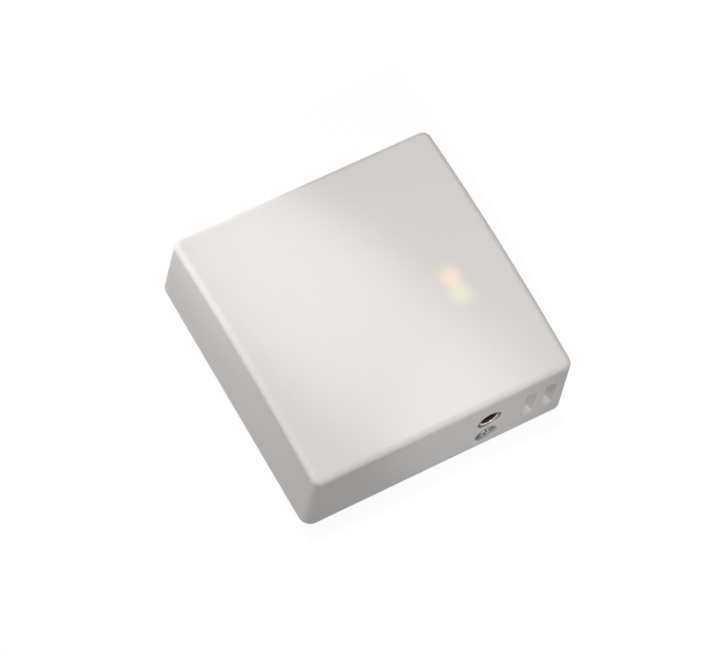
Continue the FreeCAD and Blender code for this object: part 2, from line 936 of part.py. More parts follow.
def socket_body():
    """Housing of the probe socket, with windows for the two springs."""
    bottom = socket_height - socket_body_below
    side = socket_body_half_width
    chamfer = socket_body_chamfer
    outline = [
        Vector(socket_x - side, socket_face_y, board_bottom),
        Vector(socket_x - side, socket_face_y, bottom + chamfer),
        Vector(socket_x - side + chamfer, socket_face_y, bottom),
        Vector(socket_x + side - chamfer, socket_face_y, bottom),
        Vector(socket_x + side, socket_face_y, bottom + chamfer),
        Vector(socket_x + side, socket_face_y, board_bottom),
    ]
    body = prism(outline, Vector(0, socket_body_length, 0))
    bore = rod_in_wall(
        socket_x, socket_height, socket_inner_radius, socket_face_y - overcut,
        socket_back_y - socket_end_wall,
    )
    seat = rod_in_wall(
        socket_x, socket_height, socket_nose_radius + socket_fit, socket_face_y - overcut,
        socket_face_y + socket_seat_depth,
    )
    window_y = socket_face_y + socket_window_offset
    window = block(
        (socket_x - side - overcut, socket_x + side + overcut),
        (window_y, window_y + socket_window_length),
        (socket_height - socket_window_height / 2, socket_height + socket_window_height / 2),
    )
    return body.cut(Part.makeCompound([bore, seat])).cut(window)


def socket_collar():
    """Metal collar that the plug goes in through, held in the socket's body."""
    length = socket_face_y - socket_nose_y + socket_seat_depth
    profile = [
        (0.0, socket_mouth_radius),
        (0.0, socket_nose_radius),
        (length, socket_nose_radius),
        (length, socket_bore_radius),
        (socket_mouth_depth, socket_bore_radius),
        (socket_mouth_depth, socket_mouth_radius),
    ]
    return turned(profile, Vector(socket_x, socket_nose_y, socket_height), ALONG_Y)


def socket_spring(side):
    """Spring on one side of the socket, which bends in through the window to the plug."""
    (x_range, tail_y) = socket_tail_ranges()[0 if side < 0 else 1]
    outer_x = (x_range[0] + x_range[1]) / 2
    tip_x = socket_x + side * (socket_bore_radius + spring_plug_gap + spring_thickness / 2)
    window_start = socket_face_y + socket_window_offset
    path = [
        Vector(outer_x, tail_y[1], 0.0),
        Vector(outer_x, window_start + socket_window_length * spring_bend_share, 0.0),
        Vector(tip_x, spring_middle_y, 0.0),
        Vector(tip_x + side * spring_width / 2, window_start + spring_thickness, 0.0),
    ]
    outline = band(path, spring_thickness)
    strip = prism(outline, Vector(0, 0, spring_width))
    strip.translate(Vector(0, 0, socket_height - spring_width / 2))
    tail = block(x_range, tail_y, (socket_height - spring_width / 2, board_top + tail_stand))
    return fused([strip, tail])


def light_shroud():
    """Block with two bores that keep each lamp's light to its own place."""
    top = min(ceiling_height(y) for _, y in lamp_places.values()) - shroud_top_gap
    height = top - board_top
    width = shroud_bore_width + 2 * shroud_wall
    shroud = block_at(lamp_x, lamp_middle_y, width, width + lamp_pitch, board_top, height)
    for x, y in lamp_places.values():
        shroud = shroud.cut(
            block_at(x, y, shroud_bore_width, shroud_bore_width, board_top - overcut, height + 2 * overcut)
        )
    return shroud


def lamp(colour):
    """Surface lamp: a small block with a lens on it."""
    x, y = lamp_places[colour]
    base = block_at(x, y, lamp_width, lamp_length, board_top, lamp_base_height)
    lens = block_at(
        x, y, lamp_lens_size, lamp_lens_size, board_top + lamp_base_height, lamp_lens_height
    )
    return fused([base, lens])


def radio_board():
    """Small board of the radio."""
    return block_at(
        radio_x, radio_y, radio_board_width, radio_board_length, board_top, radio_board_thickness
    )


def radio_chip():
    """Radio chip under its shield."""
    return block_at(
        radio_x,
        radio_y,
        radio_chip_size,
        radio_chip_size,
        board_top + radio_board_thickness,
        radio_chip_height,
    )


def radio_shield():
    """Pressed can over the radio chip, open underneath."""
    bottom = board_top + radio_board_thickness
    can = block_at(radio_x, radio_y, shield_width, shield_length, bottom, shield_height)
    inside = block_at(
        radio_x, radio_y, shield_width - 2 * shield_sheet, shield_length - 2 * shield_sheet,
        bottom, shield_height - shield_sheet,
    )
    return can.cut(inside)


def antenna():
    """Strip antenna that stands over the board along its left and upper edges."""
    left_x = radio_x - radio_board_width / 2 + antenna_width / 2
    start_y = radio_y + radio_board_length / 2
    edge_y = board_half_length - antenna_edge_inset
    radio_top = board_top + radio_board_thickness
    run = (radio_top + antenna_stand, radio_top + antenna_stand + antenna_thickness)
    half = antenna_width / 2
    x_range = (left_x - half, left_x + half)
    return fused([
        block(x_range, (start_y - antenna_thickness, start_y), (radio_top, run[1])),
        block(x_range, (start_y - antenna_thickness, edge_y + half), run),
        block((left_x - half, antenna_end_x), (edge_y - half, edge_y + half), run),
        block(
            (antenna_end_x - antenna_thickness, antenna_end_x),
            (edge_y - half, edge_y + half),
            (board_top, run[1]),
        ),
    ])


def flat_leads(x, y, body_half, count, pitch, along_x):
    """Rows of flat leads on two sides of a chip."""
    leads = []
    for side in (-1, 1):
        span = sorted((side * (body_half - lead_thickness), side * (body_half + lead_reach)))
        for i in range(count):
            offset = (i - (count - 1) / 2) * pitch
            along = (offset - lead_width / 2, offset + lead_width / 2)
            first, second = (along, span) if along_x else (span, along)
            leads.append(
                block(
                    (x + first[0], x + first[1]),
                    (y + second[0], y + second[1]),
                    (board_top, board_top + lead_thickness),
                )
            )
    return leads


def processor():
    """Processor with leads on its four sides."""
    gap = lead_thickness / 2
    body = block_at(
        processor_x, processor_y, processor_size, processor_size, board_top + gap,
        processor_height - gap,
    )
    half = processor_size / 2
    leads = []
    for along_x in (True, False):
        leads.extend(
            flat_leads(processor_x, processor_y, half, processor_lead_count, lead_pitch, along_x)
        )
    return fused([body] + leads)


def memory_chip():
    """Memory chip with leads on its two long sides."""
    gap = lead_thickness / 2
    body = block_at(
        memory_x, memory_y, memory_width, memory_length, board_top + gap, memory_height - gap
    )
    leads = flat_leads(
        memory_x, memory_y, memory_length / 2, memory_lead_count, memory_lead_pitch, True
    )
    return fused([body] + leads)


def voltage_regulator():
    """Regulator with a wide cooling tab and three leads."""
    body = block_at(
        regulator_x, regulator_y, regulator_width, regulator_length, board_top, regulator_height
    )
    tab_y = regulator_y + regulator_length / 2
    tab = block_at(
        regulator_x, tab_y + lead_reach / 2, regulator_tab_width, lead_reach, board_top,
        lead_thickness * 2,
    )
    pieces = [body, tab]
    for i in range(3):
        x = regulator_x + (i - 1) * regulator_width / 3
        lead_y = regulator_y - regulator_length / 2 - lead_reach / 2
        pieces.append(
            block_at(x, lead_y, lead_width, lead_reach, board_top, lead_thickness * 2)
        )
    return fused(pieces)


def crystal():
    """Crystal in a can with round ends."""
    end_radius = crystal_width / 2
    straight = crystal_length / 2 - end_radius
    top = board_top + crystal_height
    return fused([
        block_at(crystal_x, crystal_y, 2 * straight, crystal_width, board_top, crystal_height),
        post(crystal_x - straight, crystal_y, end_radius, board_top, top),
        post(crystal_x + straight, crystal_y, end_radius, board_top, top),
    ])


def storage_capacitor():
    """Can capacitor on a square base on the board's back, for the radio's bursts."""
    base_size = 2 * (capacitor_radius + capacitor_base_margin)
    base = block_at(
        capacitor_x, capacitor_y, base_size, base_size,
        board_bottom - capacitor_base_height, capacitor_base_height,
    )
    can = post(
        capacitor_x, capacitor_y, capacitor_radius, board_bottom - capacitor_length, board_bottom
    )
    return fused([base, can])


def chip_row(start_x, y, count, height, bottom):
    """Row of small chip parts."""
    return Part.makeCompound([
        block_at(start_x + i * chip_pitch, y, chip_width, chip_length, bottom, height)
        for i in range(count)
    ])


def pin_header():
    """Service header on the board's back: a moulded base."""
    size = header_row_count * header_pitch
    base = block_at(
        header_x, header_y, size, size, board_bottom - header_base_height, header_base_height
    )
    pins = []
    for x, y in header_pin_places():
        pins.append(
            block_at(
                x, y, header_pin_width, header_pin_width,
                board_bottom - header_pin_length,
                header_pin_length + board_thickness + tail_stand,
            )
        )
    return fused([base] + pins)


def jumper_cap():
    """Cap that joins two of the header's pins."""
    top = board_bottom - header_base_height
    x = header_pin_places()[0][0]
    size = header_pitch - jumper_margin
    cap = block_at(
        x, header_y, size, header_row_count * header_pitch - jumper_margin, top - jumper_height,
        jumper_height,
    )
    sockets = [
        block_at(
            pin_x, pin_y,
            header_pin_width + 2 * jumper_gap,
            header_pin_width + 2 * jumper_gap,
            top - header_pin_length,
            header_pin_length + overcut,
        )
        for pin_x, pin_y in header_pin_places()
        if abs(pin_x - x) < header_pitch / 2
    ]
    return cap.cut(Part.makeCompound(sockets))


def temperature_sensor():
    """Sensing chip in the chamber behind the air slots, on three leads."""
    x = slot_middle_x
    y = sensor_y()
    half = sensor_width / 2
    front = y - sensor_depth / 2
    back = y + sensor_depth / 2
    outline = [
        Vector(x - half + sensor_chamfer, front, sensor_bottom),
        Vector(x + half - sensor_chamfer, front, sensor_bottom),
        Vector(x + half, front + sensor_chamfer, sensor_bottom),
        Vector(x + half, back, sensor_bottom),
        Vector(x - half, back, sensor_bottom),
        Vector(x - half, front + sensor_chamfer, sensor_bottom),
    ]
    pieces = [prism(outline, Vector(0, 0, sensor_length))]
    lead_bottom = sensor_bottom + sensor_length / 2
    for lead_x, lead_y in sensor_lead_places():
        pieces.append(
            block_at(
                lead_x, lead_y, sensor_lead_width, sensor_lead_width,
                lead_bottom, board_top + tail_stand - lead_bottom,
            )
        )
    return fused(pieces)


def chamber_gasket():
    """Foam strip between the chamber's wall and the board."""
    outer = block(
        (chamber_left_x, chamber_right_x),
        (-board_half_length, chamber_back_y + chamber_wall),
        (chamber_top, board_bottom),
    )
    inner = block(
        (chamber_left_x + chamber_wall, chamber_right_x - chamber_wall),
        (-board_half_length - overcut, chamber_back_y),
        (chamber_top - overcut, board_bottom + overcut),
    )
    side = block(
        (board_half_width, chamber_right_x + overcut),
        (-half_length, half_length),
        (0.0, cover_edge_height),
    )
    return outer.cut(inner).cut(side)


def all_pieces():
    """Every piece by the name of its node."""
    return {
        "front_cover": front_cover(),
        "back_plate": back_plate(),
        "screw_insert": screw_insert(),
        "cover_screw": cover_screw(),
        "circuit_board": circuit_board(),
        "board_screws": board_screws(),
        "battery_cell": battery_cell(),
        "battery_holder": battery_holder(),
        "positive_contact": positive_contact(),
        "negative_contact": negative_contact(),
        "socket_body": socket_body(),
        "socket_collar": socket_collar(),
        "tip_spring": socket_spring(-1),
        "sleeve_contact": socket_spring(1),
        "light_shroud": light_shroud(),
        "orange_led": lamp("orange"),
        "green_led": lamp("green"),
        "radio_board": radio_board(),
        "radio_chip": radio_chip(),
        "radio_shield": radio_shield(),
        "antenna": antenna(),
        "processor": processor(),
        "memory_chip": memory_chip(),
        "voltage_regulator": voltage_regulator(),
        "crystal": crystal(),
        "storage_capacitor": storage_capacitor(),
        "chip_capacitors": chip_row(
            chip_capacitor_x, chip_capacitor_y, chip_capacitor_count, chip_height, board_top
        ),
        "chip_resistors": chip_row(
            chip_resistor_x, chip_resistor_y, chip_resistor_count, chip_resistor_height, board_top
        ),
        "pin_header": pin_header(),
        "jumper_cap": jumper_cap(),
        "temperature_sensor": temperature_sensor(),
        "chamber_gasket": chamber_gasket(),
    }


def write_pieces():
    """Write one STEP file for each piece."""
    os.makedirs("parts", exist_ok=True)
    for name, shape in all_pieces().items():
        shape.exportStep("parts/" + name + ".step")


write_pieces()
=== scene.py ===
import math

import bmesh
import bpy
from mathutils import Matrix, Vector
from mathutils.geometry import delaunay_2d_cdt


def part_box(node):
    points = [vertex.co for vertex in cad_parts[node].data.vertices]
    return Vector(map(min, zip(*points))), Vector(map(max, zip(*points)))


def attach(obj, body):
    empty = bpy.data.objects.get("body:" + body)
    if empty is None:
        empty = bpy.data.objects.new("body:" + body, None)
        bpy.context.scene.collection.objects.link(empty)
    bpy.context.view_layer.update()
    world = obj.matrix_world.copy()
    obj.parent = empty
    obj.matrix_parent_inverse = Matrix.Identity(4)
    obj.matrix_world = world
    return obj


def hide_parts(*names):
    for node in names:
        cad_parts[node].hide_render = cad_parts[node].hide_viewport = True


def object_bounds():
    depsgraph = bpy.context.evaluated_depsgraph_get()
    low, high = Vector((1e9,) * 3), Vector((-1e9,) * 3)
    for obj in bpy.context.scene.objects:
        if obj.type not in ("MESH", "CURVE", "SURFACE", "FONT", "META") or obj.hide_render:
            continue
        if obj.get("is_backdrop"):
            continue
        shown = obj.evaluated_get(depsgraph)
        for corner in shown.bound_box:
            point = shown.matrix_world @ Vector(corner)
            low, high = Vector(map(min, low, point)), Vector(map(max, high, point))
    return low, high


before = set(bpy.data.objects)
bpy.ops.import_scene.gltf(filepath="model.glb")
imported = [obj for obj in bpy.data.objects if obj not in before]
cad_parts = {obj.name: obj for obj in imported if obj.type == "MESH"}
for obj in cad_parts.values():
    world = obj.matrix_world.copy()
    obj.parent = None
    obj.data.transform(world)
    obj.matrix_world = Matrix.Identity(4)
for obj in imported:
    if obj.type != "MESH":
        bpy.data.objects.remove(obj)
cad_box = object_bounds()

bl_info = {
    "name": "Room temperature sensor",
    "version": (1, 0, 0),
    "blender": (4, 5, 0),
    "location": "View3D > Sidebar > Room sensor",
    "description": "Builds the visible pieces, finishes and studio of a wall-mounted room sensor",
    "category": "Object",
}

MM = 0.001
BODY = "root"


# Properties that a user would change

def length(name, text, millimetres):
    """A length, written in millimetres and held in metres."""
    return bpy.props.FloatProperty(
        name=name, description=text, default=millimetres * MM, unit="LENGTH", precision=5
    )


def colour(name, text, red, green, blue):
    """A colour in linear light."""
    return bpy.props.FloatVectorProperty(
        name=name, description=text, default=(red, green, blue), size=3, min=0.0, max=1.0,
        subtype="COLOR",
    )


class HousingSizes(bpy.types.PropertyGroup):
    """Form of the moulded cover."""

    crown: length("Crown", "Rise of the arched front above its upper and lower edges", 2.36)
    wall: length("Wall", "Thickness of the walls and of the front", 2.2)
    corner_radius: length("Corner radius", "Radius of the plan's corners at the back edge", 3.3)
    front_radius: length("Front edge radius", "Rounding between the walls and the front", 2.0)
    back_radius: length("Back edge radius", "Rounding of the edge that lies on the wall", 0.25)
    inner_corner: length("Inner corner", "Radius of the plan's corners inside", 0.8)
    inner_bend: length("Inner bend", "Rounding between the walls and the front inside", 0.5)
    inner_straight: length("Inner straight", "Height of the straight part of the inner walls", 21.9)
    inner_lean: length("Inner lean", "Height up to which the inner walls lean", 23.0)
    draft: bpy.props.FloatProperty(
        name="Draft", description="Lean of the outer walls", default=math.radians(1.75),
        subtype="ANGLE",
    )


class OpeningSizes(bpy.types.PropertyGroup):
    """Openings in the lower wall."""

    slot_inset: length("Slot inset", "Middle of the slot pair from the right side", 9.6)
    slot_pitch: length("Slot pitch", "Distance between the two air slots", 6.0)
    slot_width: length("Slot width", "Width of one air slot at its mouth", 3.3)
    slot_height: length("Slot height", "Height of one air slot at its mouth", 12.0)
    slot_bottom: length("Slot bottom", "Lower end of the air slots above the back edge", 6.0)
    slot_taper: length("Slot taper", "Narrowing of a slot's mouth on each side", 0.9)
    slot_mouth_depth: length("Slot mouth", "Depth over which a slot's mouth narrows", 2.0)
    slot_corner: length("Slot corner", "Corner radius of a slot's mouth", 0.8)
    throat_corner: length("Throat corner", "Corner radius of a slot's throat", 0.35)
    slot_lip: length("Slot lip", "Rounding round a slot's mouth", 0.3)
    frame_depth: length("Frame depth", "Height of the frame behind the slots", 0.8)
    frame_margin: length("Frame margin", "Width of the frame round the slots", 1.0)
    frame_corner: length("Frame corner", "Corner radius of the frame behind the slots", 0.3)
    socket_radius: length("Socket hole", "Radius of the hole for the probe socket", 3.6)
    counterbore_radius: length("Counterbore", "Radius of the recess for the screw's head", 3.3)
    counterbore_wall: length("Counterbore wall", "Wall of the boss round the recess", 0.8)
    counterbore_floor: length("Counterbore floor", "Plastic under the screw's head", 1.6)
    screw_hole_radius: length("Screw hole", "Radius of the hole for the cover screw", 1.65)
    hole_lip: length("Hole lip", "Rounding round the mouths of the round holes", 0.15)


class InnerSizes(bpy.types.PropertyGroup):
    """Bosses, ribs and snaps inside the cover, and the small parts on the board."""

    boss_radius: length("Boss", "Radius of the bosses for the board screws", 2.4)
    pilot_radius: length("Pilot hole", "Radius of the hole that a board screw cuts into", 0.9)
    boss_lead: length("Boss lead", "Bevel at a boss's lower edges", 0.15)
    rib_width: length("Rib width", "Thickness of the boss ribs", 1.0)
    rib_step: length("Rib step", "Height of the boss ribs' lower edge above the board", 1.2)
    snap_x: length("Snap place", "Distance of each snap from the middle", 18.0)
    snap_width: length("Snap width", "Width of one snap wedge", 8.0)
    snap_height: length("Snap height", "Height of the snap's catching face", 4.6)
    snap_reach: length("Snap reach", "Reach of the snap into the housing", 1.2)
    snap_flat: length("Snap flat", "Upright part at the snap's tip", 0.6)
    board_screw_radius: length("Board screw head", "Radius of a board screw's head", 2.0)
    board_screw_shank: length("Board screw shank", "Radius over a board screw's thread", 0.85)
    board_screw_pitch: length("Board screw pitch", "Pitch of a board screw's thread", 0.6)
    chip_width: length("Chip width", "Width of one small chip part", 1.25)
    chip_cap: length("Chip cap", "Length of the metal end of a small chip part", 0.45)
    chip_pitch: length("Chip pitch", "Distance between two small chip parts", 3.0)


class HardwareSizes(bpy.types.PropertyGroup):
    """Metal pieces in the lower wall."""

    bore_radius: length("Bore", "Radius of the socket's bore", 1.8)
    mouth_radius: length("Mouth", "Radius of the socket's mouth", 2.45)
    mouth_depth: length("Mouth depth", "Depth of the sleeve's face behind the collar's front", 0.65)
    collar_edge: length("Collar edge", "Rounding of the collar's outer edge", 0.3)
    # Painted light and shade on the collar: painted shade on the upper side and at the outer rim,
    # painted light on the lower side, a painted sheen and painted glints low in the mouth
    collar_painted_shade: colour("Collar painted shade", "Painted shade: dark nickel on the upper side and at the outer rim", 0.03, 0.03, 0.028)
    collar_lit_side: colour("Collar lit side", "Painted light: lighter nickel on the lower side", 0.46, 0.46, 0.45)
    collar_mouth_sheen: colour("Collar mouth sheen", "Painted sheen: lighter nickel low in the mouth", 0.4, 0.36, 0.34)
    collar_glint: colour("Collar glint", "Painted glints in spots low in the mouth", 0.85, 0.8, 0.76)
    screw_tint: colour("Screw colour", "Zinc plated steel of the cover screw", 0.13, 0.13, 0.125)
    screw_rim_shade: colour("Screw rim shade", "Painted shade: darker rim of the head", 0.02, 0.02, 0.02)
    screw_glint: colour("Screw glint", "Painted glints in spots near the cross recess", 0.92, 0.89, 0.84)
    head_radius: length("Head radius", "Radius of the cover screw's head", 2.8)
    head_flat: length("Head flat", "Radius of the flat middle of the head's face", 1.1)
    head_seat: length("Head seat", "Seat of the head behind the front of the modelled head", 1.9)
    head_height: length("Head height", "Height of the cover screw's head", 2.5)
    head_crown: length("Head crown", "Doming of the cover screw's head", 0.35)
    shank_radius: length("Shank radius", "Radius over the cover screw's thread", 1.45)
    thread_pitch: length("Thread pitch", "Pitch of the cover screw's thread", 0.5)
    recess_span: length("Recess span", "Span of the cross recess at its mouth", 3.4)
    recess_width: length("Recess width", "Width of one arm of the cross recess", 0.75)
    recess_depth: length("Recess depth", "Depth of the cross recess", 1.3)


class LampSettings(bpy.types.PropertyGroup):
    """Light of the two lamps that shows through the front."""

    x: length("Lamp place", "Distance of the lamps to the right of the middle", 21.7)
    middle_y: length("Lamp middle", "Middle of the two lamps along the front", -6.0)
    pitch: length("Lamp pitch", "Distance between the two lamps", 5.4)
    radius: length("Glow radius", "Radius at which the glow has fallen to about a third", 3.0)
    orange_shine: colour("Orange light", "Light of the orange lamp", 0.25, 0.125, 0.03)
    green_shine: colour("Green light", "Light of the green lamp", 0.115, 0.15, 0.02)
    orange_glow_tint: colour("Orange glow tint", "Painted light: tint of the plastic's colour where the orange lamp's glow shows", 1.0, 1.0, 0.97)
    green_glow_tint: colour("Green glow tint", "Painted light: tint of the plastic's colour where the green lamp's glow shows", 1.0, 1.0, 0.98)
    strength: bpy.props.FloatProperty(
        name="Glow strength", description="Strength of the light through the front",
        default=1.0, min=0.0,
    )


class FinishColours(bpy.types.PropertyGroup):
    """Colours of the plastics, the boards and the inner metals."""

    cover: colour("Cover", "Warm white of the cover", 0.79, 0.76, 0.735)
    moulding: colour("Inner moulding", "White of the wall plate and light shroud", 0.78, 0.75, 0.72)
    black: colour("Black plastic", "Black of the holder, the socket and the header", 0.02, 0.02, 0.021)
    sleeve: colour("Sleeve", "Black of the sleeve in the socket", 0.006, 0.003, 0.002)
    sleeve_low: colour("Lower sleeve", "Dull red of the sleeve's lower side", 0.035, 0.005, 0.003)
    resin: colour("Resin", "Dark resin of the chips", 0.012, 0.012, 0.013)
    jumper: colour("Jumper", "Blue of the jumper cap", 0.03, 0.06, 0.3)
    foam: colour("Foam", "Dark foam of the gasket", 0.03, 0.03, 0.03)
    mask: colour("Solder mask", "Green of the bare board", 0.01, 0.085, 0.032)
    mask_tracks: colour("Tracks", "Green over the copper tracks", 0.02, 0.16, 0.06)
    pads: colour("Pads", "Tinned pads", 0.66, 0.66, 0.62)
    ceramic: colour("Ceramic", "Brown of the chip capacitors", 0.42, 0.3, 0.17)
    glaze: colour("Glaze", "Black of the chip resistors", 0.02, 0.02, 0.025)
    ends: colour("Chip ends", "Tinned ends of the small chip parts", 0.62, 0.62, 0.6)
    tin: colour("Tin", "Tinned sheet, legs and contacts", 0.66, 0.66, 0.63)
    can: colour("Can", "Aluminium of the crystal, the capacitor and the cell's ends", 0.75, 0.75, 0.76)
    gold: colour("Gold", "Brass and gilded metal", 0.85, 0.62, 0.25)
    steel: colour("Steel", "Board screws", 0.5, 0.5, 0.5)
    capacitor: colour("Capacitor sleeve", "Sleeve of the storage capacitor", 0.02, 0.05, 0.1)
    cell: colour("Cell sleeve", "Sleeve of the battery cell", 0.05, 0.22, 0.16)
    orange_lens: colour("Orange lens", "Lens of the orange lamp", 0.9, 0.3, 0.04)
    green_lens: colour("Green lens", "Lens of the green lamp", 0.3, 0.8, 0.1)


def watts(name, text, value):
    """Power of a light."""
    return bpy.props.FloatProperty(
        name=name, description=text, default=value, min=0.0, subtype="POWER"
    )


class StudioSettings(bpy.types.PropertyGroup):
    """Camera and lights."""

    lens: bpy.props.FloatProperty(
        name="Lens", description="Focal length in millimetres", default=200.54, min=1.0
    )
    overhead: watts("Overhead light", "Power of the soft light above", 11.11)
    left: watts("Left light", "Power of the low soft light at the far left", 0.425)
    streak: watts("Streak light", "Power of the narrow light across the arched front", 28.32)
    key: watts("Key light", "Power of the wider beam on the lower wall", 18.4)
    front: watts("Front light", "Power of the narrow beam on the lower wall", 8.02)
    room: bpy.props.FloatProperty(
        name="Room light", description="Level of the even light from all round", default=0.067,
        min=0.0,
    )


PROPERTY_GROUPS = {
    "housing_sizes": HousingSizes,
    "opening_sizes": OpeningSizes,
    "inner_sizes": InnerSizes,
    "hardware_sizes": HardwareSizes,
    "lamp_settings": LampSettings,
    "finish_colours": FinishColours,
    "studio_settings": StudioSettings,
}


# Meshes

EDGE_ANGLE = math.radians(32.0)


def seen_from_front(point):
    """A point as the eye sees it along y."""
    return point.x, point.z


def seen_from_above(point):
    """A point as the eye sees it from above."""
    return point.x, point.y


class Surface:
    """Points and faces of one piece while it is made."""

    def __init__(self):
        self.points = []
        self.faces = []

    def loop(self, points):
        """Adds points and returns their numbers."""
        first = len(self.points)
        self.points.extend(Vector(p) for p in points)
        return list(range(first, len(self.points)))

    def bridge(self, first, second, gap=range(0)):
        """Joins two loops of equal length with four-sided faces, but for a gap."""
        for i in range(len(first)):
            if i not in gap:
                j = (i + 1) % len(first)
                self.faces.append((first[i], first[j], second[j], second[i]))

    def stack(self, loops, gap=range(0)):
        """Joins a row of closed loops, but for a gap."""
        for first, second in zip(loops, loops[1:]):
            self.bridge(first, second, gap)

    def close(self, ring, centre):
        """Closes a loop with triangles to a middle point."""
        middle = self.loop([centre])[0]
        for i, point in enumerate(ring):
            self.faces.append((point, ring[(i + 1) % len(ring)], middle))

    def panel(self, outline, holes, across, inner=()):
        """Fills the area between an outline and its holes with triangles."""
        keys = []
        rings = []
        for ring in [outline, *holes]:
            rings.append(list(range(len(keys), len(keys) + len(ring))))
            keys.extend(ring)
        keys.extend(inner)
        flat = [Vector(across(self.points[k])) / MM for k in keys]
        result = delaunay_2d_cdt(flat, [], rings, 2, 1e-5)
        origin = [keys[source[0]] for source in result[3]]
        self.faces.extend(tuple(origin[i] for i in face) for face in result[2])

    def mesh(self, name):
        """The finished mesh, closed, with its faces outwards."""
        mesh = bpy.data.meshes.new(name)
        mesh.from_pydata(self.points, [], self.faces)
        work = bmesh.new()
        work.from_mesh(mesh)
        bmesh.ops.remove_doubles(work, verts=work.verts, dist=1e-8)
        loose = [v for v in work.verts if not v.link_faces]
        bmesh.ops.delete(work, geom=loose, context="VERTS")
        open_edges = sum(1 for e in work.edges if len(e.link_faces) != 2)
        if open_edges:
            raise RuntimeError(f"{name} has {open_edges} open edges")
        bmesh.ops.recalc_face_normals(work, faces=work.faces)
        work.to_mesh(mesh)
        work.free()
        mesh.shade_smooth()
        mesh.set_sharp_from_angle(angle=EDGE_ANGLE)
        return mesh


def add_piece(name, mesh, material, slot, *nodes):
    """Puts a finished mesh into the scene as a piece of the object."""
    piece = bpy.data.objects.new(name, mesh)
    bpy.context.scene.collection.objects.link(piece)
    mesh.materials.clear()
    mesh.materials.append(material)
    mesh.polygons.foreach_set("material_index", [0] * len(mesh.polygons))
    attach(piece, BODY)
    if nodes:
        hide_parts(*nodes)


def arc_offsets(radius, steps, lean=0.0):
    """Outward and downward steps of a rounding from a flat face to a side that leans inwards."""
    turn = math.atan2(1.0, lean)
    reach = radius * math.tan(turn / 2)
    turns = [turn * i / steps for i in range(steps + 1)]
    return [(reach - radius * math.sin(a), radius * (1 - math.cos(a))) for a in turns]


def square_plan(x_half, y_half, radius, side_steps=22, corner_steps=14, support=0.12 * MM):
    """Points and outward directions round a square with round corners, from the lower left."""
    corners = [
        (x_half - radius, -y_half + radius, -90.0),
        (x_half - radius, y_half - radius, 0.0),
        (-x_half + radius, y_half - radius, 90.0),
        (-x_half + radius, -y_half + radius, 180.0),
    ]
    samples = []
    for i, (cx, cy, angle) in enumerate(corners):
        before = corners[i - 1]
        turn = math.radians(angle)
        normal = Vector((math.cos(turn), math.sin(turn)))
        start = Vector(before[:2]) + radius * normal
        end = Vector((cx, cy)) + radius * normal
        side = (end - start).length
        places = [0.0, support / side]
        places += [j / side_steps for j in range(1, side_steps)]
        places += [1 - support / side, 1.0]
        samples += [(start.lerp(end, place), normal) for place in places]
        for j in range(1, corner_steps):
            turn = math.radians(angle + 90.0 * j / corner_steps)
            normal = Vector((math.cos(turn), math.sin(turn)))
            samples.append((Vector((cx, cy)) + radius * normal, normal))
    return samples, side_steps + 3


def ring(surface, middle, radius, steps, upright=False):
    """A circle round a line along y, or an upright one; the radius may change with the turn."""
    x, y, z = middle
    points = []
    for i in range(steps):
        turn = 2 * math.pi * i / steps
        reach = radius(turn) if callable(radius) else radius
        across, up = reach * math.cos(turn), reach * math.sin(turn)
        points.append((x + across, y + up, z) if upright else (x + across, y, z + up))
    return surface.loop(points)


def rounded_loop(x, z, x_half, z_half, radius, steps=6, support=0.06 * MM):
    """Outline of an upright opening with round corners, as (x, z)."""
    points = []
    corners = [(1, -1, -90.0), (1, 1, 0.0), (-1, 1, 90.0), (-1, -1, 180.0)]
    for sx, sz, angle in corners:
        cx = x + sx * (x_half - radius)
        cz = z + sz * (z_half - radius)
        along = Vector((math.cos(math.radians(angle + 90)), math.sin(math.radians(angle + 90))))
        for j in range(steps + 1):
            turn = math.radians(angle + 90.0 * j / steps)
            point = Vector((cx + radius * math.cos(turn), cz + radius * math.sin(turn)))
            if j == 0:
                points.append(point - support * along)
            points.append(point)
            if j == steps:
                back = Vector((-along.y, along.x))
                points.append(point + support * back)
    return points


def round_loop(x, z, radius, steps=64):
    """Circle in the wall, as (x, z)."""
    turns = [2 * math.pi * i / steps for i in range(steps)]
    return [Vector((x + radius * math.cos(t), z + radius * math.sin(t))) for t in turns]


class CoverForm:
    """Faces of the moulded cover that its pieces share."""

    def __init__(self, settings):
        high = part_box("front_cover")[1]
        self.half = high.x
        self.wall = settings.wall
        self.slope = math.tan(settings.draft)
        self.top = high.z
        rise = settings.crown
        self.radius = (self.half ** 2 + rise ** 2) / (2 * rise)
        self.centre = self.top - self.radius

    def front(self, y, inset=0.0):
        """Height of the arched front, or of a face inset behind it."""
        return self.centre + math.sqrt((self.radius - inset) ** 2 - y ** 2)

    def steepness(self, y):
        """Slope of the arched front along y."""
        return -y / math.sqrt(self.radius ** 2 - y ** 2)

    def face(self, z):
        """Place of the lower wall's outer face at a height."""
        return -self.half + self.slope * z

    def in_wall(self, flat, depth):
        """Points of the lower wall at a depth behind its leaning outer face."""
        return [(p.x, self.face(p.y) + depth, p.y) for p in flat]


def hole_places(openings):
    """Middles of the socket, the cover screw and the air slots, as (x, z)."""
    boxes = [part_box(node) for node in ("socket_collar", "cover_screw")]
    socket, screw = [((low.x + high.x) / 2, (low.z + high.z) / 2) for low, high in boxes]
    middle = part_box("front_cover")[1].x - openings.slot_inset
    z = openings.slot_bottom + openings.slot_height / 2
    slots = [(middle + side * openings.slot_pitch / 2, z) for side in (-1, 1)]
    return socket, screw, slots


def side_panel(rings, gap):
    """Outline of the lower wall's flat part, which a stack leaves open."""
    left, right = gap.start, gap.stop
    bottom = rings[0][left:right + 1]
    rise = [ring[right] for ring in rings[1:-1]]
    top = list(reversed(rings[-1][left:right + 1]))
    fall = [ring[left] for ring in reversed(rings[1:-1])]
    return bottom + rise + top + fall


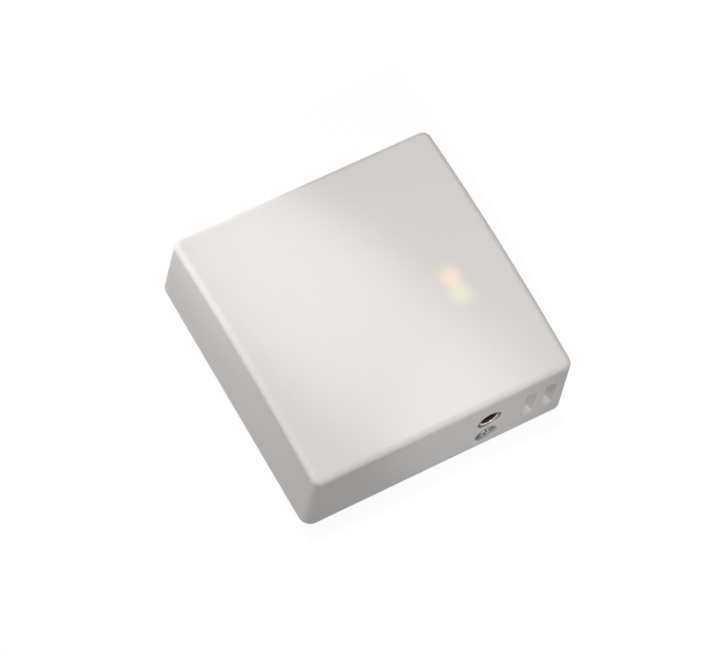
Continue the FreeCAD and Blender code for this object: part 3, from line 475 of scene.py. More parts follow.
def front_edge(form, point, normal, radius, steps):
    """Round between a wall and the arched front, as (inward distance, height)."""
    wall = Vector((form.slope, 1.0)).normalized()
    inward = radius
    corrections = 6
    for _ in range(corrections):
        y = point.y - inward * normal.y
        steep = -normal.y * form.steepness(y)
        over = Vector((1.0, steep)).normalized()
        end = Vector((inward, form.front(y)))
        centre = end + radius * Vector((over.y, -over.x))
        wall_normal = Vector((wall.y, -wall.x))
        miss = centre.dot(wall_normal) - radius
        inward -= miss / wall_normal.dot(over)
    start = centre - radius * wall_normal
    first = math.atan2(start.y - centre.y, start.x - centre.x)
    second = math.atan2(end.y - centre.y, end.x - centre.x)
    if first < 0:
        first += 2 * math.pi
    turns = [first + (second - first) * i / steps for i in range(steps + 1)]
    return [centre + radius * Vector((math.cos(t), math.sin(t))) for t in turns]


def outer_skin(surface, form, settings):
    """Outer face of the cover, with the lower wall's flat part left open."""
    samples, per_side = square_plan(form.half, form.half, settings.corner_radius)
    support = 0.1 * MM
    foot_rows, wall_rows, bend_steps, front_rings = 5, 10, 12, 16
    round_foot = []
    for i in range(foot_rows):
        turn = math.pi / 2 * (1 - i / (foot_rows - 1))
        rise = settings.back_radius * (1 - math.sin(turn))
        inward = settings.back_radius * (1 - math.cos(turn))
        round_foot.append(Vector((form.slope * rise + inward, rise)))
    columns = []
    for point, normal in samples:
        bend = front_edge(form, point, normal, settings.front_radius, bend_steps)
        low = settings.back_radius + support
        high = bend[0].y - support
        heights = [low + (high - low) * i / (wall_rows - 1) for i in range(wall_rows)]
        profile = round_foot + [Vector((form.slope * z, z)) for z in heights] + bend
        inward = bend[-1].x + support
        profile.append(Vector((inward, form.front(point.y - inward * normal.y))))
        columns.append([
            (point.x - p.x * normal.x, point.y - p.x * normal.y, p.y) for p in profile
        ])
    rings = [surface.loop(row) for row in zip(*columns)]
    gap = range(1, per_side - 2)
    wall = rings[foot_rows:foot_rows + wall_rows]
    surface.stack(rings[:foot_rows + 1])
    surface.stack(wall, gap)
    surface.stack(rings[foot_rows + wall_rows - 1:])
    edge = rings[-1]
    top = []
    for i in range(1, front_rings):
        scale = 1 - i / front_rings
        row = []
        for k in edge:
            x, y = surface.points[k].x * scale, surface.points[k].y * scale
            row.append((x, y, form.front(y)))
        top.append(surface.loop(row))
    surface.stack([edge] + top)
    surface.close(top[-1], (0.0, 0.0, form.front(0.0)))
    return rings[0], side_panel(wall, gap)


def inner_skin(surface, form, settings):
    """Inner face of the cover: leaning upper and lower walls, upright sides."""
    half = form.half - form.wall
    samples, per_side = square_plan(half, half, settings.inner_corner)
    support, row_step = 0.1 * MM, 2.0 * MM
    heights = [0.0, support] + [row_step * i for i in range(1, 11)] + [settings.inner_straight]
    gap = range(1, per_side - 2)
    rings = []
    for z in heights:
        rings.append(surface.loop([
            (p.x, p.y - n.y * form.slope * z, z) for p, n in samples
        ]))
    wall = rings[1:]
    for inward, drop in reversed(arc_offsets(settings.inner_bend, 5)):
        row = []
        for p, n in samples:
            x = p.x - n.x * inward
            y = p.y - n.y * (form.slope * settings.inner_lean + inward)
            row.append((x, y, form.front(y, form.wall) - drop))
        rings.append(surface.loop(row))
    edge = rings[-1]
    for scale in (0.9, 0.7, 0.5, 0.3, 0.1):
        row = []
        for k in edge:
            x, y = surface.points[k].x * scale, surface.points[k].y * scale
            row.append((x, y, form.front(y, form.wall)))
        rings.append(surface.loop(row))
    surface.stack(rings[:2])
    surface.stack(wall, gap)
    surface.stack(rings[len(wall):])
    surface.close(rings[-1], (0.0, 0.0, form.front(0.0, form.wall)))
    return rings[0], side_panel(wall, gap)


def slot_pocket(surface, form, openings, x, z):
    """One air slot: a mouth that narrows to a straight throat; returns its outer and inner loops."""
    x_half, z_half = openings.slot_width / 2, openings.slot_height / 2
    taper, mouth = openings.slot_taper, openings.slot_mouth_depth
    lean = taper / mouth
    corner_change = (openings.slot_corner - openings.throat_corner) / taper
    support = 0.08 * MM

    def outline(out):
        corner = openings.slot_corner + out * corner_change
        return rounded_loop(x, z, x_half + out, z_half + out, corner)

    lip = arc_offsets(openings.slot_lip, 6, lean)
    rows = [(lip[0][0] + support, 0.0)] + lip
    rows += [(-lean * back, back) for back in (lip[-1][1] + support, mouth - support, mouth)]
    rows += [(-taper, mouth + support), (-taper, form.wall)]
    rings = [surface.loop(form.in_wall(outline(out), back)) for out, back in rows]
    end = form.face(openings.slot_bottom) + form.wall + openings.frame_depth
    rings.append(surface.loop([(p.x, end, p.y) for p in outline(-taper)]))
    surface.stack(rings)
    return rings[0], rings[-1]


def round_mouth(surface, form, x, z, radius, lip):
    """Rounded mouth of a round hole; returns its outer loop and the loop behind the lip."""
    support = 0.05 * MM
    rows = [(lip + support, 0.0)] + arc_offsets(lip, 4) + [(0.0, lip + support)]
    rings = [
        surface.loop(form.in_wall(round_loop(x, z, radius + out), back)) for out, back in rows
    ]
    surface.stack(rings)
    return rings[0], rings[-1]


def cover_mesh(form, settings, openings, head_seat):
    """Moulded cover as one closed shell with all its openings."""
    surface = Surface()
    socket, screw, slots = hole_places(openings)
    outer_foot, outer_panel = outer_skin(surface, form, settings)
    inner_foot, inner_panel = inner_skin(surface, form, settings)
    surface.bridge(outer_foot, inner_foot)

    pockets = [slot_pocket(surface, form, openings, x, z) for x, z in slots]
    socket_mouth, socket_wall = round_mouth(
        surface, form, *socket, openings.socket_radius, openings.hole_lip
    )
    socket_back = surface.loop(
        form.in_wall(round_loop(*socket, openings.socket_radius), form.wall)
    )
    surface.bridge(socket_wall, socket_back)

    bore_mouth, bore_wall = round_mouth(
        surface, form, *screw, openings.counterbore_radius, openings.hole_lip
    )
    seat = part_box("cover_screw")[0].y + head_seat
    end = seat + openings.counterbore_floor
    boss = openings.counterbore_radius + openings.counterbore_wall
    levels = [
        (openings.counterbore_radius, seat),
        (openings.screw_hole_radius, seat),
        (openings.screw_hole_radius, end),
        (boss, end),
    ]
    rings = [bore_wall]
    rings += [surface.loop([(p.x, y, p.y) for p in round_loop(*screw, r)]) for r, y in levels]
    boss_root = surface.loop(form.in_wall(round_loop(*screw, boss), form.wall))
    surface.stack(rings + [boss_root])

    middle = (slots[0][0] + slots[1][0]) / 2
    x_half = (openings.slot_pitch + openings.slot_width) / 2 + openings.frame_margin
    z_half = openings.slot_height / 2 + openings.frame_margin
    flat = rounded_loop(middle, slots[0][1], x_half, z_half, openings.frame_corner, 4)
    frame_root = surface.loop(form.in_wall(flat, form.wall))
    back = form.face(openings.slot_bottom) + form.wall + openings.frame_depth
    frame_face = surface.loop([(p.x, back, p.y) for p in flat])
    surface.bridge(frame_root, frame_face)

    mouths = [p[0] for p in pockets] + [socket_mouth, bore_mouth]
    surface.panel(outer_panel, mouths, seen_from_front)
    surface.panel(inner_panel, [socket_back, boss_root, frame_root], seen_from_front)
    surface.panel(frame_face, [p[1] for p in pockets], seen_from_front)
    return surface.mesh("housing")


def block(surface, x, y, z):
    """A straight-sided block between two values on each axis."""
    (x0, x1), (y0, y1) = sorted(x), sorted(y)
    rings = [
        surface.loop([(x0, y0, level), (x1, y0, level), (x1, y1, level), (x0, y1, level)])
        for level in z
    ]
    surface.stack(rings)
    surface.faces += [tuple(rings[0]), tuple(rings[-1])]


def wall_ribs(surface, form, x, y, bottom, width):
    """Two ribs under the front that run from a place to the nearest walls."""
    half = width / 2
    root = form.front(y) - form.wall / 2
    wall = form.half - form.wall / 2
    wall_y = wall - form.slope * bottom
    side_x, side_y = math.copysign(1.0, x), math.copysign(1.0, y)
    block(surface, (x - side_x * half, side_x * wall), (y - half, y + half), (bottom, root))
    block(surface, (x - half, x + half), (y, side_y * wall_y), (bottom, root))


def screw_boss(surface, form, x, y, bottom, settings):
    """Boss for a board screw, with its pilot hole and bevelled lower edges."""
    root = form.front(y) - form.wall / 2
    ceiling = form.front(y) - form.wall
    radius, pilot, lead = settings.boss_radius, settings.pilot_radius, settings.boss_lead
    profile = [
        (ceiling, pilot), (bottom + lead, pilot), (bottom, pilot + lead),
        (bottom, radius - lead), (bottom + lead, radius), (root, radius),
    ]
    rings = [ring(surface, (x, y, z), r, 48, upright=True) for z, r in profile]
    surface.stack(rings)
    surface.close(rings[0], (x, y, ceiling))
    surface.close(rings[-1], (x, y, root))


def snap_wedge(surface, form, x, settings):
    """Wedge inside the upper wall that catches under a tongue of the back plate."""
    half = settings.snap_width / 2
    top, reach, flat = settings.snap_height, settings.snap_reach, settings.snap_flat
    wall = form.half - form.wall - form.slope * top
    root = wall + form.wall / 2
    outline = [
        (root, top - flat - reach), (wall, top - flat - reach), (wall - reach, top - flat),
        (wall - reach, top), (root, top),
    ]
    ends = [surface.loop([(x + side * half, y, z) for y, z in outline]) for side in (-1, 1)]
    surface.stack(ends)
    surface.faces += [tuple(ends[0]), tuple(ends[1])]


def round_edges(mesh, rounding, segments=2):
    """Rounds the sharp edges of a closed mesh and returns it."""
    work = bmesh.new()
    work.from_mesh(mesh)
    bmesh.ops.remove_doubles(work, verts=work.verts, dist=1e-7)
    flat = math.radians(1.0)
    bmesh.ops.dissolve_limit(work, angle_limit=flat, verts=work.verts, edges=work.edges)
    sharp = [e for e in work.edges if e.calc_face_angle(0.0) > math.radians(40.0)]
    bmesh.ops.bevel(
        work, geom=sharp, offset=rounding, segments=segments, profile=0.5, affect="EDGES",
        clamp_overlap=True,
    )
    wide = [face for face in work.faces if len(face.verts) > 4]
    bmesh.ops.triangulate(work, faces=wide)
    work.to_mesh(mesh)
    work.free()
    mesh.shade_smooth()
    mesh.set_sharp_from_angle(angle=EDGE_ANGLE)
    return mesh


def soft_block(name, x_half, y_half, low, high, rounding):
    """A block that stands on a middle line, with rounded edges."""
    surface = Surface()
    block(surface, (-x_half, x_half), (-y_half, y_half), (low, high))
    return round_edges(surface.mesh(name), rounding, 3)


def turned_mesh(name, profile, middle):
    """A closed piece turned from a ring of (depth, radius) round a line along y."""
    surface = Surface()
    x, y, z = middle
    rings = [ring(surface, (x, y + depth, z), radius, 96) for depth, radius in profile]
    surface.stack(rings + rings[:1])
    return surface.mesh(name)


def cross_outline(span, width, corner):
    """Outline of a cross with softened corners, as (across, up)."""
    long_half, short_half = span / 2, width / 2
    quarter = [
        (long_half, -short_half + corner), (long_half, short_half - corner),
        (long_half - corner, short_half), (short_half + corner, short_half),
        (short_half, short_half + corner),
    ]
    turns = [(1, 0), (0, 1), (-1, 0), (0, -1)]
    return [(px * c - pz * s, px * s + pz * c) for c, s in turns for px, pz in quarter]


def thread_rings(level, root, crest, pitch, length, per_turn, sharpness):
    """Rings of a thread, which fades out at both ends; level makes one ring at a place."""
    count = int(length / pitch * per_turn)
    rings = []
    for i in range(1, count + 1):
        along = length * i / count
        fade = min(1.0, i / per_turn, (count - i) / per_turn)

        def radius(turn):
            phase = (along / pitch - turn / (2 * math.pi)) % 1.0
            tooth = max(0.0, 1 - sharpness * abs(phase - 0.5))
            return root + (crest - root) * tooth * fade

        rings.append(level(radius, along))
    return rings


def cover_screw_mesh(sizes, middle, seat, end):
    """Cover screw with a domed head, a cross recess and a thread; its face is at the middle."""
    surface = Surface()
    steps = 72
    x, front, z = middle
    rim, bevel, corner = sizes.head_radius, 0.08 * MM, 0.12 * MM

    def level(radius, y):
        return ring(surface, (x, y, z), radius, steps)

    def dome(radius):
        part = min(1.0, max(0.0, radius - sizes.head_flat) / (rim - sizes.head_flat))
        return front + sizes.head_crown * (1 - math.sqrt(max(0.0, 1 - part ** 2.4)))

    def cross(out, depth, part=1.0):
        span = sizes.recess_span * part + 2 * out
        width = sizes.recess_width * (0.6 + 0.4 * part) + 2 * out
        points = []
        for px, pz in cross_outline(span, width, corner):
            y = dome(math.hypot(px, pz)) if depth is None else front + depth
            points.append((x + px, y, z + pz))
        return surface.loop(points)

    # The rim of the face, then points inside it that stay clear of the cross
    edge = [level(rim * part, dome(rim * part)) for part in (0.985, 0.997, 1.0)]
    clear = 0.22 * MM
    reach, arm = sizes.recess_span / 2 + clear, sizes.recess_width / 2 + clear
    inner = []
    for part in (0.35, 0.5, 0.62, 0.72, 0.8, 0.87, 0.93, 0.96):
        radius = rim * part
        for i in range(0, steps, 2):
            turn = 2 * math.pi * i / steps
            px, pz = radius * math.cos(turn), radius * math.sin(turn)
            short, long = sorted((abs(px), abs(pz)))
            if short >= arm or long >= reach:
                inner.append((x + px, dome(radius), z + pz))
    inner = surface.loop(inner)
    recess = [cross(0.1 * MM, None), cross(0.0, 0.11 * MM), cross(0.0, sizes.recess_depth, 0.45)]
    surface.stack(recess)
    surface.panel(recess[-1], [], seen_from_front)
    surface.panel(edge[0], [recess[0]], seen_from_front, inner)

    crest = sizes.shank_radius
    root, tip = 0.82 * crest, 0.45 * crest
    rings = edge + [level(rim, seat - bevel), level(rim - bevel, seat), level(root, seat)]
    rings += thread_rings(
        lambda radius, along: level(radius, seat + along), root, crest, sizes.thread_pitch,
        end - seat - 0.9 * MM, per_turn=6, sharpness=2,
    )
    rings.append(level(tip, end))
    surface.stack(rings)
    surface.close(rings[-1], (x, end, z))
    return surface.mesh("cross_screw")


def board_screw_mesh(sizes, head_height, shank_length):
    """Pan-head screw that points up from a seat at nothing, with a cross recess and a thread."""
    surface = Surface()
    head, shank = sizes.board_screw_radius, sizes.board_screw_shank
    root, bevel, front = 0.78 * shank, 0.05 * MM, -head_height

    def level(radius, z):
        return ring(surface, (0.0, 0.0, z), radius, 48, upright=True)

    cross = cross_outline(1.1 * head, 0.28 * head, 0.08 * MM)
    mouth = surface.loop([(x, y, front) for x, y in cross])
    floor = front + 0.65 * head_height
    foot = surface.loop([(0.6 * x, 0.6 * y, floor) for x, y in cross])
    surface.bridge(mouth, foot)
    surface.panel(foot, [], seen_from_above)
    rings = []
    for i in range(7):
        turn = math.pi / 2 * i / 6
        radius = head * (0.7 + 0.3 * math.sin(turn))
        rings.append(level(radius, front + 0.55 * head_height * (1 - math.cos(turn))))
    surface.panel(rings[0], [mouth], seen_from_above)
    rings += [level(head, -bevel), level(head - bevel, 0.0), level(root, 0.0)]
    rings += thread_rings(
        level, root, shank, sizes.board_screw_pitch, shank_length - 1.0 * MM, per_turn=8,
        sharpness=3,
    )
    rings.append(level(0.15 * MM, shank_length))
    surface.stack(rings)
    surface.close(rings[-1], (0.0, 0.0, shank_length))
    return surface.mesh("board_screw")


# Nodes

FLOAT = "NodeSocketFloat"
COLOR = "NodeSocketColor"
VECTOR = "NodeSocketVector"


def wire(tree, node, inputs):
    """Sets a node's inputs, each given as a socket or a plain value."""
    for key, value in inputs.items():
        socket = node.inputs[key]
        if isinstance(value, bpy.types.NodeSocket):
            tree.links.new(value, socket)
        elif socket.type == "RGBA":
            socket.default_value = (*value, 1.0)
        else:
            socket.default_value = value


def add_node(tree, kind, inputs=None, **values):
    """A node with its settings and its inputs."""
    node = tree.nodes.new(kind)
    for key, value in values.items():
        setattr(node, key, value)
    wire(tree, node, inputs or {})
    return node


def maths(tree, operation, *values):
    """A maths node; returns its output."""
    inputs = dict(enumerate(values))
    return add_node(tree, "ShaderNodeMath", inputs, operation=operation).outputs[0]


def vector_maths(tree, operation, *values):
    """A vector node; returns its outputs."""
    inputs = dict(enumerate(values))
    return add_node(tree, "ShaderNodeVectorMath", inputs, operation=operation).outputs


def scaled(tree, vector, factor):
    """A vector or colour times a factor; returns its output."""
    inputs = {0: vector, "Scale": factor}
    return add_node(tree, "ShaderNodeVectorMath", inputs, operation="SCALE").outputs[0]


def mixed(tree, factor, first, second, blend="MIX"):
    """Two colours mixed by a factor; returns the output."""
    inputs = {"Factor": factor, "A": first, "B": second}
    node = add_node(tree, "ShaderNodeMix", inputs, data_type="RGBA", blend_type=blend)
    return node.outputs["Result"]


def noise(tree, vector, scale, detail):
    """Noise at a place; returns its output."""
    inputs = {"Vector": vector, "Scale": scale, "Detail": detail}
    return add_node(tree, "ShaderNodeTexNoise", inputs).outputs["Fac"]


def smooth_step(tree, value, nothing, full):
    """Nothing at one value, one at another and a soft change between; returns the output."""
    inputs = {"Value": value, "From Min": nothing, "From Max": full}
    node = add_node(tree, "ShaderNodeMapRange", inputs, interpolation_type="SMOOTHSTEP")
    return node.outputs["Result"]


def from_line(tree, vector, middle):
    """Distance from a line along y through a middle, and the parts of the way from it."""
    away = vector_maths(tree, "SUBTRACT", vector, middle)[0]
    flat = vector_maths(tree, "MULTIPLY", away, (1.0, 0.0, 1.0))[0]
    radius = vector_maths(tree, "LENGTH", flat)["Value"]
    return radius, add_node(tree, "ShaderNodeSeparateXYZ", {0: away}).outputs


def new_group(name, inputs, outputs):
    """An empty shader group with named sockets."""
    group = bpy.data.node_groups.new(name, "ShaderNodeTree")
    for label, kind, default in inputs:
        socket = group.interface.new_socket(name=label, in_out="INPUT", socket_type=kind)
        if default is not None:
            socket.default_value = default
    for label, kind in outputs:
        group.interface.new_socket(name=label, in_out="OUTPUT", socket_type=kind)
    return group, add_node(group, "NodeGroupInput").outputs, add_node(group, "NodeGroupOutput")


def add_shared(tree, name, make, inputs):
    """A node that uses a shared group, which is made once; returns its outputs."""
    group = bpy.data.node_groups.get(name) or make(name)
    return add_node(tree, "ShaderNodeGroup", inputs, node_tree=group).outputs


def grain_group(name):
    """Fine grain, tone and gloss changes of a worked surface."""
    group, given, result = new_group(
        name,
        [
            ("Vector", VECTOR, None), ("Colour", COLOR, None),
            ("Grain size", FLOAT, 0.3), ("Tone change", FLOAT, 0.03),
            ("Roughness", FLOAT, 0.5), ("Gloss change", FLOAT, 0.05),
        ],
        [("Colour", COLOR), ("Roughness", FLOAT), ("Height", FLOAT)],
    )
    scale = maths(group, "DIVIDE", 1 / MM, given["Grain size"])
    fine = noise(group, given["Vector"], scale, 3.0)
    broad = noise(group, given["Vector"], maths(group, "MULTIPLY", scale, 0.04), 2.0)
    cloud = maths(group, "SUBTRACT", broad, 0.5)
    speck = maths(group, "SUBTRACT", fine, 0.5)
    both = maths(group, "MULTIPLY_ADD", cloud, 1.6, speck)
    tone = maths(group, "MULTIPLY_ADD", both, given["Tone change"], 1.0)
    rough = maths(group, "MULTIPLY_ADD", both, given["Gloss change"], given["Roughness"])
    tint = scaled(group, given["Colour"], tone)
    wire(group, result, {"Colour": tint, "Roughness": rough, "Height": fine})
    return group


def glow_group(name):
    """Soft round light that fades from a middle point."""
    group, given, result = new_group(
        name,
        [("Vector", VECTOR, None), ("Middle", VECTOR, None), ("Radius", FLOAT, 0.003)],
        [("Mask", FLOAT)],
    )
    away = vector_maths(group, "DISTANCE", given["Vector"], given["Middle"])["Value"]
    power = maths(group, "POWER", maths(group, "DIVIDE", away, given["Radius"]), 2.5)
    wire(group, result, {"Mask": maths(group, "EXPONENT", maths(group, "MULTIPLY", power, -1.0))})
    return group


def box_group(name):
    """One inside a box and nothing outside it."""
    group, given, result = new_group(
        name,
        [("Vector", VECTOR, None), ("Middle", VECTOR, None), ("Half size", VECTOR, None)],
        [("Mask", FLOAT)],
    )
    away = vector_maths(group, "SUBTRACT", given["Vector"], given["Middle"])[0]
    away = vector_maths(group, "ABSOLUTE", away)[0]
    past = vector_maths(group, "SUBTRACT", away, given["Half size"])[0]
    parts = add_node(group, "ShaderNodeSeparateXYZ", {0: past}).outputs
    most = maths(group, "MAXIMUM", parts["X"], parts["Y"])
    most = maths(group, "MAXIMUM", most, parts["Z"])
    wire(group, result, {"Mask": maths(group, "LESS_THAN", most, 0.0)})
    return group


def row_tree(name):
    """Copies a piece along a row, joins the copies and gives them one material."""
    tree = bpy.data.node_groups.new(name, "GeometryNodeTree")
    inputs = [
        ("Piece", "NodeSocketGeometry"), ("Count", "NodeSocketInt"), ("Start", VECTOR),
        ("Step", VECTOR), ("Material", "NodeSocketMaterial"),
    ]
    for label, kind in inputs:
        tree.interface.new_socket(name=label, in_out="INPUT", socket_type=kind)
    tree.interface.new_socket(name="Row", in_out="OUTPUT", socket_type="NodeSocketGeometry")
    given = add_node(tree, "NodeGroupInput").outputs
    ends = {"Count": given["Count"], "Start Location": given["Start"], "Offset": given["Step"]}
    line = add_node(tree, "GeometryNodeMeshLine", ends, mode="OFFSET").outputs["Mesh"]
    copies = {"Points": line, "Instance": given["Piece"]}
    copies = add_node(tree, "GeometryNodeInstanceOnPoints", copies).outputs["Instances"]
    real = add_node(tree, "GeometryNodeRealizeInstances", {"Geometry": copies})
    paint = {"Geometry": real.outputs["Geometry"], "Material": given["Material"]}
    paint = add_node(tree, "GeometryNodeSetMaterial", paint)
    add_node(tree, "NodeGroupOutput", {"Row": paint.outputs["Geometry"]})
    return tree


def in_a_row(name, mesh, material, count, start, step):
    """One plain mesh of copies of a piece along a row."""
    maker = bpy.data.objects.new(name, mesh)
    bpy.context.scene.collection.objects.link(maker)
    modifier = maker.modifiers.new("row", "NODES")
    modifier.node_group = bpy.data.node_groups.get("Row of pieces") or row_tree("Row of pieces")
    values = {"Count": count, "Start": start, "Step": step, "Material": material}
    for item in modifier.node_group.interface.items_tree:
        if item.in_out == "INPUT" and item.name in values:
            modifier[item.identifier] = values[item.name]
    graph = bpy.context.evaluated_depsgraph_get()
    result = bpy.data.meshes.new_from_object(maker.evaluated_get(graph))
    result.name = name
    bpy.data.objects.remove(maker)
    return result


# Materials

def new_material(name, metallic=0.0, specular=0.5):
    """A material with a Principled shader and its object coordinates."""
    material = bpy.data.materials.new(name)
    material.use_nodes = True
    tree = material.node_tree
    shader = tree.nodes["Principled BSDF"]
    wire(tree, shader, {"Metallic": metallic, "Specular IOR Level": specular})
    return material, tree, shader, add_node(tree, "ShaderNodeTexCoord").outputs["Object"]


def add_bump(tree, shader, height, depth):
    """A bump of a real depth on the shader."""
    bump = add_node(tree, "ShaderNodeBump", {"Height": height, "Distance": depth})
    wire(tree, shader, {"Normal": bump.outputs["Normal"]})


def add_grain(tree, vector, shader, tint, rough, grain, tone, gloss):
    """Joins the grain group to the shader; grain in millimetres; returns its height."""
    outputs = add_shared(tree, "Surface grain", grain_group, {
        "Vector": vector, "Colour": tint, "Grain size": grain, "Tone change": tone,
        "Roughness": rough, "Gloss change": gloss,
    })
    wire(tree, shader, {"Base Color": outputs["Colour"], "Roughness": outputs["Roughness"]})
    return outputs["Height"]


def grained(name, tint, rough, metallic=0.0, grain=0.3, tone=0.05, gloss=0.06, depth=0.01):
    """A finish with grain, used on most pieces; sizes in millimetres."""
    material, tree, shader, vector = new_material(name, metallic)
    height = add_grain(tree, vector, shader, tint, rough, grain, tone, gloss)
    add_bump(tree, shader, height, depth * MM)
    return material


def cover_material(form, lamps, tint):
    """Warm white moulded plastic with the light of the two lamps behind it."""
    material, tree, shader, vector = new_material("Warm white moulding", specular=0.3)
    height = add_grain(tree, vector, shader, tint, 0.48, grain=0.35, tone=0.012, gloss=0.04)
    add_bump(tree, shader, height, 0.004 * MM)
    tint = shader.inputs["Base Color"].links[0].from_socket
    light = (0.0, 0.0, 0.0)
    both = [
        (1, lamps.orange_glow_tint, lamps.orange_shine), (-1, lamps.green_glow_tint, lamps.green_shine),
    ]
    for side, glow_tint, shine in both:
        y = lamps.middle_y + side * lamps.pitch / 2
        mask = add_shared(tree, "Soft glow", glow_group, {
            "Vector": vector, "Middle": (lamps.x, y, form.front(y)), "Radius": lamps.radius,
        })["Mask"]
        # Painted lamp light: where each lamp's light shows through, the plastic's colour is tinted and
        # the front glows
        tint = mixed(tree, mask, tint, glow_tint, "MULTIPLY")
        light = vector_maths(tree, "ADD", light, scaled(tree, shine, mask))[0]
    wire(tree, shader, {
        "Base Color": tint, "Emission Color": light, "Emission Strength": lamps.strength,
        "Subsurface Weight": 0.5, "Subsurface Radius": (1.0, 0.9, 0.8),
        "Subsurface Scale": 0.6 * MM,
    })
    return material


def metal_material(name, tint, rough, middle, groove=0.06, depth=0.0015):
    """Turned metal with fine rings round a line along y; groove and depth in millimetres."""
    material, tree, shader, vector = new_material(name, 1.0)
    radius, parts = from_line(tree, vector, middle)
    along = maths(tree, "ADD", radius, parts["Y"])
    rings = maths(tree, "SINE", maths(tree, "MULTIPLY", along, 2 * math.pi / (groove * MM)))
    height = add_grain(tree, vector, shader, tint, rough, grain=0.5, tone=0.25, gloss=0.1)
    add_bump(tree, shader, maths(tree, "MULTIPLY_ADD", rings, 0.3, height), depth * MM)
    return material


def ring_tint(material, middle, start, end, tint, glint_spots=False, low=None):
    """Tints a turned piece from one radius to another, in spots of painted glint or on its lower side.

    low gives the heights from the middle at which the tint is nothing and full.
    """
    spot_size, spot_from, spot_full = 0.45 * MM, 0.49, 0.58
    tree = material.node_tree
    shader = tree.nodes["Principled BSDF"]
    vector = add_node(tree, "ShaderNodeTexCoord").outputs["Object"]
    radius, parts = from_line(tree, vector, middle)
    mask = smooth_step(tree, radius, start, end)
    if glint_spots:
        # Painted glints: the tint is laid only in bright noise spots
        spots = smooth_step(tree, noise(tree, vector, 1 / spot_size, 1.0), spot_from, spot_full)
        mask = maths(tree, "MULTIPLY", mask, spots)
    if low:
        mask = maths(tree, "MULTIPLY", mask, smooth_step(tree, parts["Z"], *low))
    before = shader.inputs["Base Color"].links[0].from_socket
    wire(tree, shader, {"Base Color": mixed(tree, mask, before, tint)})


def two_finishes(name, body, rest, low, high):
    """One finish inside a box and another outside it, each (tint, roughness, metallic)."""
    material, tree, shader, vector = new_material(name)
    mask = add_shared(tree, "Inside box", box_group, {
        "Vector": vector,
        "Middle": [(a + b) / 2 for a, b in zip(low, high)],
        "Half size": [(b - a) / 2 for a, b in zip(low, high)],
    })["Mask"]
    tint = mixed(tree, mask, rest[0], body[0])
    rough = maths(tree, "MULTIPLY_ADD", mask, body[1] - rest[1], rest[1])
    metallic = maths(tree, "MULTIPLY_ADD", mask, body[2] - rest[2], rest[2])
    height = add_grain(tree, vector, shader, tint, rough, grain=0.25, tone=0.1, gloss=0.1)
    add_bump(tree, shader, height, 0.006 * MM)
    wire(tree, shader, {"Metallic": metallic})
    return material


def board_material(name, colours):
    """Green solder mask over faint square tracks, with tinned pads in a loose grid."""
    square, pad_pitch = 6.0 * MM, 2.54 * MM
    track_turns, track_from, pad_size, pads_from = 48.0, 0.35, 0.19, 0.42
    material, tree, shader, vector = new_material(name)
    squares = {"Vector": vector, "Scale": 1 / square}
    tracks = add_node(tree, "ShaderNodeTexVoronoi", squares, distance="CHEBYCHEV")
    tracks = tracks.outputs["Distance"]
    wave = maths(tree, "SINE", maths(tree, "MULTIPLY", tracks, track_turns))
    copper = maths(tree, "GREATER_THAN", wave, track_from)
    grid = {"Vector": vector, "Scale": 1 / pad_pitch, "Randomness": 0.0}
    pads = add_node(tree, "ShaderNodeTexVoronoi", grid).outputs["Distance"]
    near = maths(tree, "LESS_THAN", pads, pad_size)
    pad = maths(tree, "MULTIPLY", near, maths(tree, "GREATER_THAN", tracks, pads_from))
    tint = mixed(tree, copper, colours.mask, colours.mask_tracks)
    tint = mixed(tree, pad, tint, colours.pads)
    height = add_grain(tree, vector, shader, tint, 0.32, grain=0.4, tone=0.12, gloss=0.08)
    add_bump(tree, shader, maths(tree, "MULTIPLY_ADD", copper, 2.0, height), 0.006 * MM)
    wire(tree, shader, {"Metallic": pad})
    return material


# Operators

class SENSOR_OT_housing(bpy.types.Operator):
    """Make the moulded cover with its openings"""

    bl_idname = "sensor.housing"
    bl_label = "Housing"

    def execute(self, context):
        scene = context.scene
        form = CoverForm(scene.housing_sizes)
        seat = scene.hardware_sizes.head_seat
        mesh = cover_mesh(form, scene.housing_sizes, scene.opening_sizes, seat)
        finish = cover_material(form, scene.lamp_settings, scene.finish_colours.cover)
        add_piece("housing", mesh, finish, "cover", "front_cover")

        inner = scene.inner_sizes
        board_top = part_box("circuit_board")[1].z
        low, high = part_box("board_screws")
        head = inner.board_screw_radius
        surface = Surface()
        for x, y in [(low.x + head, high.y - head), (high.x - head, low.y + head)]:
            screw_boss(surface, form, x, y, board_top, inner)
            wall_ribs(surface, form, x, y, board_top + inner.rib_step, inner.rib_width)
        rest = high.y - head
        for side in (-1, 1):
            wall_ribs(surface, form, side * rest, side * rest, board_top, inner.rib_width)
            snap_wedge(surface, form, side * inner.snap_x, inner)
        add_piece("cover_bosses", surface.mesh("cover_bosses"), finish, "cover")
        return {"FINISHED"}


